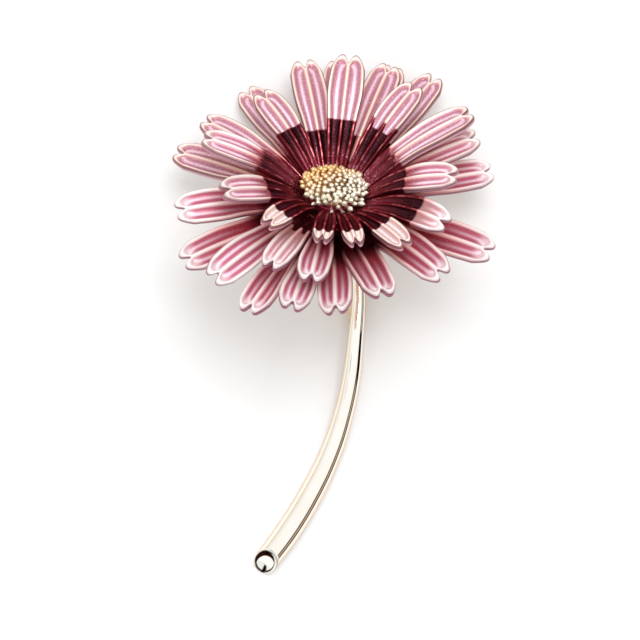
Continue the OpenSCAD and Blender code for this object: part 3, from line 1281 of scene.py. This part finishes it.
    def line_height(self, graph: Graph, edge: Value, rib: Value) -> Value:
        """Give the height of the front over its mean: round rim and rib, hollow channels.

        Args:
            graph: The tree.
            edge: Distance from the outline.
            rib: Distance from the middle line.

        Returns:
            The height in millimetres.
        """
        rim_profile = 1 - graph.ramp(edge, *self.rim_slope)
        rib_profile = 1 - graph.ramp(rib, *self.rib_slope)
        inside = graph.smaller(edge - self.rim_foot, rib - self.rib_foot)
        hollow = self.hollow_slope * graph.smaller(graph.larger(inside, 0.0), self.hollow_width)
        return self.relief * (graph.larger(rim_profile, rib_profile) - 0.5) - hollow


@dataclass(frozen=True)
class PetalRing:
    """One casting: a round hub with the petals that grow from its edge."""

    node: str
    petals: tuple[Petal, ...]
    layer: int
    head: Head
    stack: Stack
    hub_margin: float = 0.1
    hub_round: float = 0.2
    hub_sides: int = 96

    def hub(self) -> bpy.types.Mesh:
        """Make the hub, a disc with a hole and rounded edges, in the flower's frame.

        Returns:
            The hub's mesh.
        """
        height = self.stack.height(self.layer)
        low, high = height - self.stack.hub_t / 2, height + self.stack.hub_t / 2
        radius = self.stack.radius(self.layer) + self.hub_margin
        profile = [
            (self.stack.bore_r, low),
            (radius - self.hub_round, low),
            (radius, low + self.hub_round),
            (radius, high - self.hub_round),
            (radius - self.hub_round, high),
            (self.stack.bore_r, high),
        ]
        return kept(f"{self.node}_hub", lathed(profile, self.hub_sides, hollow=True))

    def gaps(self) -> list[tuple[float, float]]:
        """Give the angles between each petal and the petals before and after it.

        Returns:
            Two angles for each petal, in the petals' order.
        """
        count = len(self.petals)
        turns = [
            (self.petals[(place + 1) % count].azimuth - petal.azimuth) % 360
            for place, petal in enumerate(self.petals)
        ]
        return [(turns[place - 1], turns[place]) for place in range(count)]

    def tree(self, petal_tree: ShapeGraph) -> ShapeGraph:
        """Build the geometry tree that sets the petals round the hub and puts the ring in place.

        Args:
            petal_tree: The tree of one petal.

        Returns:
            The tree.
        """
        graph = ShapeGraph(self.node)
        hub = graph.socket("Hub", "NodeSocketGeometry")
        material = graph.socket("Material", "NodeSocketMaterial")
        root_r, height = graph.number("Root Radius"), graph.number("Hub Height")
        _, _, z = graph.position()
        # The hub is all dark base, far from any raised line
        marks = {"edge": 2.0, "rib": 2.0, "dark": 1.0, "soft": 0.01}
        marks.update({name: 0.0 for name in ("along", "step", "red", "pale")})
        marks["level"] = 2 * graph.math("GREATER_THAN", z, height) - 1
        for name, number in marks.items():
            hub = graph.store(hub, name, number)
        pieces = [hub]
        for petal, (before, after) in zip(self.petals, self.gaps()):
            made = graph.node(
                "GeometryNodeGroup",
                {"node_tree": petal_tree.tree},
                {
                    **{name.title(): number for name, number in asdict(petal).items()},
                    "Gap Before": before,
                    "Gap After": after,
                    "Root Radius": root_r,
                    "Hub Height": height,
                },
            )
            pieces.append(graph.out(made))
        ring = graph.placed(graph.together(pieces), self.head.turn(), self.head.place)
        graph.close(ring, material)
        return graph

    def build(self, petal_tree: ShapeGraph, material: bpy.types.Material) -> None:
        """Build the ring and settle it.

        Args:
            petal_tree: The tree of one petal.
            material: The petals' finish.
        """
        inputs = {
            "Material": material,
            "Root Radius": self.stack.radius(self.layer),
            "Hub Height": self.stack.height(self.layer),
        }
        piece = grown(f"enamelled_{self.node}", self.hub(), self.tree(petal_tree), inputs)
        settled(piece, self.node)


@dataclass(frozen=True)
class StamenDome:
    """The flower's disc: an enamelled skirt and a domed bed covered with stamens.

    The near side is the disc's lower edge as the camera sees it, and the far side its upper edge.
    """

    head: Head
    stack: Stack
    radius: float = 4.6
    skirt: float = 1.0
    rise: float = 1.5
    lean: float = 6.0
    lean_azimuth: float = 50.0
    count: int = 135
    edge_angle: float = 82.0
    golden_angle: float = 137.508
    pale_slope: tuple[float, float] = (0.2, -0.24)
    pale_range: Range = (-1.2, 0.7)
    cloud_scale: float = 1.1
    cloud_share: float = 1.6
    enamel_end: Range = (0.3, 0.7)
    short_stamen: float = 0.95
    long_stamen: float = 1.9
    stamen_radius: float = 0.43
    stamen_sides: int = 9
    stamen_rings: int = 8
    bulb_middle: float = 0.74
    bulb_half: float = 0.262
    rod_share: float = 0.6
    near_stretch: float = 0.8
    skirt_reach: float = 0.7
    foot_depth: float = 0.35
    edge_range: Range = (0.8, 1.0)
    near_droop: float = 0.06
    far_loss: float = 0.65
    sway: tuple[float, float, float] = (0.32, 0.32, 0.1)
    stoutness: Range = (0.8, 1.2)
    sides: int = 72
    dome_steps: int = 12
    post_clearance: float = 0.4
    post_end: float = 0.15
    low_round: float = 0.15
    top_round: float = 0.2
    seed: int = 7

    def lean_turn(self) -> Matrix:
        """Give the lean of the domed top against its skirt.

        Returns:
            The turn.
        """
        bearing = Matrix.Rotation(math.radians(self.lean_azimuth), 4, "Z")
        return bearing @ Matrix.Rotation(math.radians(self.lean), 4, "Y") @ bearing.inverted()

    def bed(self) -> bpy.types.Mesh:
        """Make the skirt, the domed bed and the post behind them, in the flower's frame.

        Returns:
            Their mesh.
        """
        low = self.stack.dome_base()
        angles = [math.pi / 2 * (1 - step / self.dome_steps) for step in range(self.dome_steps)]
        dome = [
            (self.radius * math.sin(angle), self.skirt + self.rise * math.cos(angle))
            for angle in angles
        ]
        foot = self.skirt / 2
        profile = [(0, foot), (self.radius, foot), *dome, (0, self.skirt + self.rise)]
        top = put(lathed(profile, self.sides), Matrix.Translation((0, 0, low)) @ self.lean_turn())
        post_r = self.stack.bore_r - self.post_clearance
        post_low = self.stack.back() + self.post_end
        skirt_profile = [
            (0, post_low),
            (post_r, post_low),
            (post_r, low),
            (self.radius - self.low_round, low),
            (self.radius, low + self.low_round),
            (self.radius, low + self.skirt - self.top_round),
            (self.radius - self.top_round, low + self.skirt),
            (0, low + self.skirt),
        ]
        return kept("disc_bed", combined(lathed(skirt_profile, self.sides), top))

    def tree(self) -> ShapeGraph:
        """Build the geometry tree that covers the bed with stamens and puts the disc in place.

        Returns:
            The tree.
        """
        graph = ShapeGraph("stamen_dome")
        bed = graph.socket("Bed", "NodeSocketGeometry")
        material = graph.socket("Material", "NodeSocketMaterial")
        radius, rise, count = graph.number("Radius"), graph.number("Rise"), graph.number("Count")
        short, long = graph.number("Short Stamen"), graph.number("Long Stamen")
        seed = graph.socket("Seed", "NodeSocketInt")
        scattered = self.scattered(graph, radius, rise, count, short, long, seed)
        realized = graph.node("GeometryNodeRealizeInstances", inputs={0: scattered})
        x, y, _ = graph.position()
        noise = graph.node("ShaderNodeTexNoise", inputs={"Scale": self.cloud_scale, "Detail": 2.0})
        cloud = graph.value(noise, "Fac")
        # Painted reflection: amber on the far left, cream on the near right, with a cloudy border
        paler = self.pale_slope[0] * x + self.pale_slope[1] * y + self.cloud_share * (cloud - 0.5)
        pale = graph.ramp(paler, *self.pale_range)
        stamens = graph.store(graph.out(realized), "pale", pale)
        stamens = graph.store(stamens, "enamelled", 0.0)
        lift = (0, 0, self.stack.dome_base())
        stamens = graph.placed(graph.smooth(stamens), self.lean_turn(), lift, scale=1.0)
        _, _, z = graph.position()
        start, end = (self.stack.dome_base() + self.skirt + part for part in self.enamel_end)
        bed = graph.store(bed, "enamelled", 1 - graph.ramp(z, start, end))
        # The bed takes the painted reflection and, at height 0, the feet's painted shade
        bed = graph.store(graph.store(bed, "pale", pale), "height", 0.0)
        disc = graph.placed(graph.together([bed, stamens]), self.head.turn(), self.head.place)
        graph.close(disc, material)
        return graph

    def scattered(
        self,
        graph: ShapeGraph,
        radius: Value,
        rise: Value,
        count: Value,
        short: Value,
        long: Value,
        seed: bpy.types.NodeSocket,
    ) -> bpy.types.NodeSocket:
        """Set the stamens on the bed in a golden spiral.

        Args:
            graph: The disc's tree.
            radius: The bed's radius.
            rise: How much the bed's middle is higher than its edge.
            count: How many stamens there are.
            short: Length of the middle stamens.
            long: Length of the outermost ones.
            seed: Seed of their sway and stoutness.

        Returns:
            The stamens as instances.
        """
        index = graph.value(graph.node("GeometryNodeInputIndex"))
        outward = graph.root((index + 0.5) / count)
        out = math.radians(self.edge_angle) * outward
        turn = math.radians(self.golden_angle) * index
        east, north = graph.sin(out) * graph.cos(turn), graph.sin(out) * graph.sin(turn)
        # On the near side the outermost stamens stand on the skirt, on the far side they are short
        near_edge = graph.larger(-north, 0.0) ** 2 * graph.ramp(outward, *self.edge_range)
        far_edge = graph.larger(north - 0.5 * east, 0.0) ** 2
        foot = self.skirt + rise * graph.cos(out) - self.skirt_reach * near_edge
        spot = graph.joined(radius * east, radius * north, foot)
        upward = graph.cos(out) / rise - self.near_droop * near_edge
        square = graph.joined(east / radius, north / radius, upward)
        tilt = graph.node(
            "FunctionNodeRandomValue",
            {"data_type": "FLOAT_VECTOR"},
            {"Min": [-part for part in self.sway], "Max": self.sway, "Seed": seed},
        )
        direction = graph.vector("ADD", graph.vector("NORMALIZE", square), graph.out(tilt))
        aligned = graph.node(
            "FunctionNodeAlignRotationToVector", {"axis": "Z"}, {"Vector": direction}
        )
        thinnest, stoutest = self.stoutness
        drawn = graph.node(
            "FunctionNodeRandomValue", inputs={"Min": thinnest, "Max": stoutest, "Seed": seed}
        )
        stout = graph.value(drawn)
        length = short + (long - short) * outward ** 3 * (1 - self.far_loss * far_edge)
        tall = (length + self.near_stretch * near_edge) * stout
        points = graph.out(graph.node("GeometryNodePoints", inputs={"Count": count}))
        placed = graph.node(
            "GeometryNodeInstanceOnPoints",
            inputs={
                "Points": graph.moved(points, spot),
                "Instance": self.stamen(graph),
                "Rotation": graph.out(aligned),
                "Scale": graph.joined(stout, stout, tall),
            },
        )
        return graph.out(placed)

    def stamen(self, graph: ShapeGraph) -> bpy.types.NodeSocket:
        """Make one stamen of length 1, a slim rod with a round head, its foot under z = 0.

        Args:
            graph: The disc's tree.

        Returns:
            The stamen.
        """
        rod = graph.node(
            "GeometryNodeMeshCylinder",
            {"fill_type": "TRIANGLE_FAN"},
            {
                "Vertices": self.stamen_sides,
                "Side Segments": self.stamen_rings,
                "Radius": 1.0,
                "Depth": 2.0,
            },
        )
        x, y, z = graph.position()
        up = 0.5 * z + 0.5
        bulb = graph.root(1 - ((up - self.bulb_middle) / self.bulb_half) ** 2)
        rod_width = self.rod_share * (1 - graph.ramp(up, 0.8, 1.0))
        slim = self.stamen_radius * graph.larger(rod_width, bulb)
        place = graph.joined(x * slim, y * slim, up * (1 + self.foot_depth) - self.foot_depth)
        return graph.moved(graph.store(graph.out(rod, "Mesh"), "height", up), place)

    def build(self, material: bpy.types.Material) -> None:
        """Build the disc and settle it.

        Args:
            material: Its finish.
        """
        inputs = {
            "Material": material,
            "Radius": self.radius,
            "Rise": self.rise,
            "Short Stamen": self.short_stamen,
            "Long Stamen": self.long_stamen,
            "Count": float(self.count),
            "Seed": self.seed,
        }
        piece = grown("disc_with_stamens", self.bed(), self.tree(), inputs)
        settled(piece, "stamen_dome")


@dataclass(frozen=True)
class Stem:
    """The curved, tapering stem with its slanted, rimmed end, and the collar behind the flower."""

    head: Head
    stack: Stack
    # The middle line from the cut end to just under the collar: x, y, z and radius
    line: tuple[tuple[float, float, float, float], ...] = (
        (-12, -43, 2.16, 2.1),
        (-7.65, -37.1, 2.25, 2.2),
        (-3.6, -30.4, 2.2, 2.1),
        (-0.4, -23.7, 2.35, 1.88),
        (1.8, -17, 2.9, 1.74),
        (3.2, -10.4, 3.95, 1.64),
        (3.9, -3.7, 4.95, 1.45),
        (4.4, 3, 4.8, 1.25),
        (4.1, 9.1, 5, 1.15),
        (2.9, 13.3, 7, 1.1),
        (1, 16.3, 10.8, 1.2),
    )
    cut_angle: float = 46.0
    cut_reach: float = 7.3
    rim: float = 0.5
    rim_round: float = 0.4
    recess: float = 0.2
    collar_r: float = 3.0
    collar_t: float = 1.0
    # How far the line runs on into the collar, and its radius there
    run_on: float = 0.6
    run_on_radius: float = 1.4
    sides: int = 64
    rings: int = 140
    end_rings: int = 26
    # On the end's face, whose radius is 1: the dish's edge, and its groove and the corner's line,
    # both darkened with painted shade
    dish_edge: float = 0.04
    groove_side: tuple[float, float] = (0.59, 0.81)
    groove_width: float = 0.03
    groove_widening: float = 0.26
    groove_shift: float = 0.06
    groove_blur: float = 0.04
    corner_side: tuple[float, float] = (-0.7, 0.7)
    corner_turn: Range = (0.2, 0.8)
    corner_range: Range = (0.95, 0.99)
    # How dark the painted shade along the corner is
    corner_shade: float = 0.85

    def collar_back(self) -> Vector:
        """Give the middle of the collar's back face."""
        return self.head.point(self.stack.back() - self.collar_t)

    def curve(self) -> bpy.types.Curve:
        """Make the middle line, in metres, run on into the collar.

        Returns:
            The line, with the tube's radius at each point.
        """
        inward = self.collar_back() - self.run_on * self.head.turn().col[2].to_3d()
        rows = [*self.line, (*inward, self.run_on_radius)]
        made = bpy.data.curves.new("stem_line", "CURVE")
        made.dimensions = "3D"
        made.resolution_u = 16
        spline = made.splines.new("BEZIER")
        spline.bezier_points.add(len(rows) - 1)
        for point, (x, y, z, radius) in zip(spline.bezier_points, rows):
            point.co = (x * MM, y * MM, z * MM)
            point.radius = radius * MM
            point.handle_left_type = "AUTO"
            point.handle_right_type = "AUTO"
        return made

    def tree(self) -> ShapeGraph:
        """Build the geometry tree that lays a closed tube along the line and cuts its end.

        Returns:
            The tree.
        """
        graph = ShapeGraph("stem")
        line = graph.socket("Line", "NodeSocketGeometry")
        material = graph.socket("Material", "NodeSocketMaterial")
        shear, reach = graph.number("Cut Slope"), graph.number("Cut Reach")
        dish, rounding = graph.number("Dish Share"), graph.number("Rounding Share")
        recess, rim_round = graph.number("Recess"), graph.number("Rim Round")
        tube = graph.node(
            "GeometryNodeMeshCylinder",
            {"fill_type": "TRIANGLE_FAN"},
            {
                "Vertices": self.sides,
                "Side Segments": self.rings,
                "Fill Segments": self.end_rings,
                "Radius": 1.0,
                "Depth": 2.0,
            },
        )
        x, y, z = graph.position()
        share = 0.5 * z + 0.5
        length = graph.value(graph.node("GeometryNodeCurveLength", inputs={"Curve": line}))
        line_radius = graph.value(graph.node("GeometryNodeInputRadius"))
        sample = graph.node(
            "GeometryNodeSampleCurve",
            {"mode": "FACTOR", "data_type": "FLOAT"},
            {"Curves": line, "Value": line_radius, "Factor": share},
        )
        along = graph.out(sample, "Tangent")
        side = graph.vector("NORMALIZE", graph.vector("CROSS_PRODUCT", along, (0, 0, 1)))
        up = graph.vector("CROSS_PRODUCT", side, along)
        radius = graph.value(sample, "Value")
        # The cut's slant fades out along the tube
        slant = shear * graph.larger(1 - share * length / reach, 0.0)
        middle = graph.root(x * x + y * y)
        at_end = graph.math("LESS_THAN", z, -0.9999)
        step = 1 - graph.ramp(middle, dish, dish + self.dish_edge)
        bowl = 1 - (middle / dish) ** 2
        turned = graph.larger((middle - rounding) / (1 - rounding), 0.0)
        sunk = at_end * (step * recess * (1 + bowl) + rim_round * (1 - graph.root(1 - turned ** 2)))
        offset = graph.vector("ADD", graph.scaled(side, -x * radius), graph.scaled(up, y * radius))
        forward = graph.scaled(along, y * radius * slant + sunk)
        place = graph.vector("ADD", graph.out(sample, "Position"), offset)
        place = graph.vector("ADD", place, forward)
        # Painted shade in the groove round the dish, widest at its far side, and a dark line of
        # painted shade along the corner
        far = graph.larger(self.groove_side[0] * x + self.groove_side[1] * y, 0.0)
        width = self.groove_width + self.groove_widening * far
        from_groove = abs(middle - dish + self.groove_shift * far)
        groove = at_end * (1 - graph.ramp(from_groove, width, width + self.groove_blur))
        turning = self.corner_side[0] * x + self.corner_side[1] * y
        corner = at_end * graph.ramp(middle, *self.corner_range)
        corner = corner * graph.ramp(turning, *self.corner_turn)
        groove = graph.larger(groove, self.corner_shade * corner)
        marked = graph.store(graph.out(tube, "Mesh"), "groove", groove)
        graph.close(graph.smooth(graph.moved(marked, place)), material)
        return graph

    def collar(self) -> bpy.types.Mesh:
        """Make the collar with rounded edges and a fillet towards the stem.

        Returns:
            The collar's mesh, in place.
        """
        top = self.stack.back()
        low = top - self.collar_t
        profile = [
            (0, low - 0.5),
            (self.run_on_radius, low - 0.5),
            (1.55, low - 0.25),
            (1.95, low - 0.05),
            (self.collar_r - 0.25, low),
            (self.collar_r, low + 0.25),
            (self.collar_r, top - 0.2),
            (self.collar_r - 0.2, top),
            (0, top),
        ]
        place = Matrix.Scale(MM, 4) @ Matrix.Translation(self.head.place) @ self.head.turn()
        return kept("collar", put(lathed(profile, 72), place))

    def build(self, material: bpy.types.Material) -> None:
        """Build the stem and its collar and settle them.

        Args:
            material: Their finish.
        """
        inputs = {
            "Material": material,
            "Cut Slope": math.tan(math.radians(self.cut_angle)),
            "Cut Reach": self.cut_reach * MM,
            "Dish Share": 1 - self.rim / self.line[0][3],
            "Rounding Share": 1 - self.rim_round / self.line[0][3],
            "Rim Round": self.rim_round * MM,
            "Recess": self.recess * MM,
        }
        settled(grown("stem_tube", self.curve(), self.tree(), inputs), "stem")
        settled(shown("collar", self.collar(), material), "stem")


@dataclass(frozen=True)
class PinBack:
    """The plain fastening behind the stem: bar, hinge block, needle and catch."""

    place: tuple[float, float] = (4.1, -2.5)
    turn: float = 2.0
    bar_length: float = 24.0
    bar_width: float = 2.6
    bar_low: float = 2.6
    bar_top: float = 3.4
    bar_round: float = 0.2
    block_low: float = 0.4
    block_length: float = 3.0
    block_inset: float = 0.16
    block_round: float = 0.15
    rivet_r: float = 0.5
    rivet_face_r: float = 0.35
    rivet_y: float = 1.2
    needle_r: float = 0.4
    needle_z: float = 1.1
    needle_start: float = 2.5
    needle_end: float = 23.0
    # The taper, as shares of the needle's length and of its radius, and the length of its point
    taper: tuple[tuple[float, float], ...] = ((0.6, 1.0), (0.85, 0.75))
    point_length: float = 0.4
    point_share: float = 0.3
    catch_length: float = 2.0
    catch_low: float = 0.05
    catch_wall: Range = (0.75, 1.25)
    catch_foot: Range = (-0.4, 0.95)
    catch_t: float = 0.4
    catch_overlap: float = 0.1
    wall_round: float = 0.08
    foot_round: float = 0.12
    end_gap: float = 0.02
    sides: int = 20

    def frame(self) -> Matrix:
        """Give the pin's place, from millimetres in its own frame to metres."""
        move = Matrix.Translation((*self.place, 0))
        return Matrix.Scale(MM, 4) @ move @ Matrix.Rotation(math.radians(self.turn), 4, "Z")

    def bar(self) -> bmesh.types.BMesh:
        """Make the flat bar.

        Returns:
            The bar.
        """
        half = self.bar_width / 2
        low, high = (-half, 0, self.bar_low), (half, self.bar_length, self.bar_top)
        return block(low, high, self.bar_round)

    def hinge(self) -> bmesh.types.BMesh:
        """Make the block that holds the needle's root, with a rivet head on each side.

        Returns:
            The block with its rivet.
        """
        half = self.bar_width / 2
        inner = half - self.block_inset
        rim = half - self.block_inset / 2
        low, high = (-inner, self.end_gap, self.block_low), (inner, self.block_length, self.bar_low)
        profile = [
            (0, -half),
            (self.rivet_face_r, -half),
            (self.rivet_r, -rim),
            (self.rivet_r, rim),
            (self.rivet_face_r, half),
            (0, half),
        ]
        move = Matrix.Translation((0, self.rivet_y, self.needle_z))
        rivet = put(lathed(profile, self.sides), move @ Matrix.Rotation(math.pi / 2, 4, "Y"))
        return combined(block(low, high, self.block_round), rivet)

    def needle(self) -> bmesh.types.BMesh:
        """Make the needle, which tapers to its point inside the catch.

        Returns:
            The needle.
        """
        long = self.needle_end - self.needle_start
        radius = self.needle_r
        profile = [
            (0, 0),
            (radius, 0),
            *((radius * thinner, long * share) for share, thinner in self.taper),
            (radius * self.point_share, long - self.point_length),
            (0, long),
        ]
        move = Matrix.Translation((0, self.needle_start, self.needle_z))
        return put(lathed(profile, self.sides), move @ Matrix.Rotation(-math.pi / 2, 4, "X"))

    def catch(self) -> bmesh.types.BMesh:
        """Make the catch, a strip bent from the bar round under the needle's end.

        Returns:
            The catch.
        """
        start, end = self.bar_length - self.catch_length, self.bar_length - self.end_gap
        low = self.catch_low
        left, right = self.catch_wall
        wall_top = self.bar_low + self.catch_overlap
        wall = block((left, start, low), (right, end, wall_top), self.wall_round)
        left, right = self.catch_foot
        foot = block((left, start, low), (right, end, low + self.catch_t), self.foot_round)
        return combined(wall, foot)

    def build(self, material: bpy.types.Material) -> None:
        """Build the four parts and settle them.

        Args:
            material: Their finish.
        """
        for name, shape in (
            ("pin_bar", self.bar()),
            ("pin_hinge", self.hinge()),
            ("pin_needle", self.needle()),
            ("pin_catch", self.catch()),
        ):
            mesh = kept(name, put(shape, self.frame()))
            settled(shown(name, mesh, material), "pin_back")


@dataclass(frozen=True)
class Panel:
    """A coloured panel on the room's wall, in degrees.

    bearing is its middle, low and high are its heights, and blur is how soft its two long edges
    are.
    """

    bearing: float
    half_width: float
    low: float
    high: float
    blur: float
    colour: Colour


@dataclass(frozen=True)
class Studio:
    """A white table in a white room under soft light, seen from straight above.

    The room's walls are bright. Low down on the right is a tan panel between dark edges, with a
    black screen in its middle and a brown near end, on the left is a pale straw panel, and where
    the stem's end points is a black drop. The polished metal mirrors all of them as lines.
    Bearings run from +X towards +Y and heights are elevations, in degrees.
    """

    camera_place: tuple[float, float, float] = (-2.3, -0.5, 560.0)
    lens: float = 179.66
    sensor: float = 36.0
    table_side: float = 3000.0
    wall_light: float = 0.87
    overhead_light: float = 0.14
    overhead_range: Range = (0.3, 0.9)
    straw: Colour = srgb(246, 230, 192)
    tan: Colour = srgb(220, 200, 174)
    brown: Colour = srgb(202, 178, 148)
    shade: Colour = srgb(58, 44, 32)
    black: Colour = srgb(20, 12, 8)
    # Each panel covers the ones before it
    panels: tuple[Panel, ...] = (
        Panel(165, 45, -5, 15, 7, straw),
        Panel(0, 62, -5, 34, 1, tan),
        Panel(-36, 12, -5, 34, 1, brown),
        Panel(0, 62, 26, 36, 1, shade),
        Panel(0, 62, -5, 12, 1, shade),
        Panel(-13, 7, -100, 35, 7, black),
    )
    panel_side_blur: float = 4.0
    drop_bearing: float = -127.0
    drop_lean: float = 0.55
    drop_widening: float = 0.2
    drop_edge: Range = (1.0, 3.0)
    drop_heights: Range = (1.0, 50.0)
    lamp_place: tuple[float, float, float] = (0.09, 0.3, 0.84)
    lamp_side: float = 0.4
    lamp_power: float = 3.9

    def table(self, material: bpy.types.Material) -> None:
        """Make the table's top.

        Args:
            material: Its finish.
        """
        half = self.table_side / 2 * MM
        mesh = bpy.data.meshes.new("table")
        corners = [(-half, -half, 0), (half, -half, 0), (half, half, 0), (-half, half, 0)]
        mesh.from_pydata(corners, [], [(0, 1, 2, 3)])
        shown("table", mesh, material)

    def surroundings(self) -> None:
        """Make the room's light."""
        world = bpy.data.worlds.new("white_room")
        world.use_nodes = True
        world.node_tree.nodes.clear()
        graph = Graph(world.node_tree)
        direction = graph.out(graph.node("ShaderNodeTexCoord"), "Generated")
        x, y, up = graph.parts(direction)
        height = graph.math("ARCSINE", up) * math.degrees(1)
        flat = graph.vector("NORMALIZE", graph.joined(x, y, 0.0))

        def facing(bearing: float, half_width: float) -> Value:
            """Give 1 near a bearing, with a soft border.

            Args:
                bearing: The middle.
                half_width: How far it reaches to each side.

            Returns:
                1 inside, 0 outside.
            """
            turn = math.radians(bearing)
            middle = (math.cos(turn), math.sin(turn), 0)
            near = Value(graph, graph.vector("DOT_PRODUCT", flat, middle))
            outside = math.cos(math.radians(half_width + self.panel_side_blur))
            return graph.ramp(near, outside, math.cos(math.radians(half_width)))

        def band(low: float, high: float, blur: float) -> Value:
            """Give 1 between two heights, with soft borders."""
            over = graph.ramp(height, low - blur, low + blur)
            return over * (1 - graph.ramp(height, high - blur, high + blur))

        room: Any = WHITE
        for panel in self.panels:
            across = facing(panel.bearing, panel.half_width)
            share = across * band(panel.low, panel.high, panel.blur)
            room = graph.mix(share, room, panel.colour)
        # A drop that widens upwards and leans, for the mirror image in the stem's dished end
        bearing = graph.math("ARCTAN2", y, x) * math.degrees(1)
        off = abs(bearing - self.drop_bearing + self.drop_lean * height)
        away = off - self.drop_widening * height
        drop = (1 - graph.ramp(away, *self.drop_edge)) * band(*self.drop_heights, 1)
        room = graph.mix(drop, room, self.black)
        overhead = graph.ramp(up, *self.overhead_range)
        bright = self.wall_light + self.overhead_light * overhead
        background = graph.node("ShaderNodeBackground", inputs={"Color": room, "Strength": bright})
        graph.node("ShaderNodeOutputWorld", inputs={"Surface": graph.out(background)})
        bpy.context.scene.world = world

    def lamp(self) -> None:
        """Hang a large soft lamp over the flower's far side."""
        data = bpy.data.lights.new("soft_lamp", "AREA")
        data.shape = "SQUARE"
        data.size = self.lamp_side
        data.energy = self.lamp_power
        lamp = bpy.data.objects.new("soft_lamp", data)
        lamp.location = self.lamp_place
        lamp.rotation_euler = (-lamp.location).to_track_quat("-Z", "Y").to_euler()
        bpy.context.scene.collection.objects.link(lamp)

    def camera(self) -> None:
        """Set the camera straight above the brooch."""
        data = bpy.data.cameras.new("camera")
        data.lens = self.lens
        data.sensor_width = self.sensor
        data.clip_end = 20
        camera = bpy.data.objects.new("camera", data)
        camera.location = [part * MM for part in self.camera_place]
        bpy.context.scene.collection.objects.link(camera)
        bpy.context.scene.camera = camera

    def build(self) -> None:
        """Set up the table, the light and the camera."""
        self.table(TablePaper().material())
        self.surroundings()
        self.lamp()
        self.camera()
        bpy.context.scene.view_settings.view_transform = "Standard"


def main() -> None:
    """Build the studio and the brooch, piece by piece."""
    logging.basicConfig(level=logging.INFO, format="%(message)s", stream=sys.stdout)
    head = Head()
    stack = Stack()
    enamel = PetalEnamel().material()
    petal_tree = PetalForm().tree()
    Studio().build()
    PetalRing("petals_outer", OUTER_PETALS, 2, head, stack).build(petal_tree, enamel)
    PetalRing("petals_middle", MIDDLE_PETALS, 1, head, stack).build(petal_tree, enamel)
    PetalRing("petals_inner", INNER_PETALS, 0, head, stack).build(petal_tree, enamel)
    StamenDome(head, stack).build(StamenGold().material())
    Stem(head, stack).build(POLISHED_GOLD.material())
    PinBack().build(PLAIN_GOLD.material())


if __name__ == "__main__":
    main()
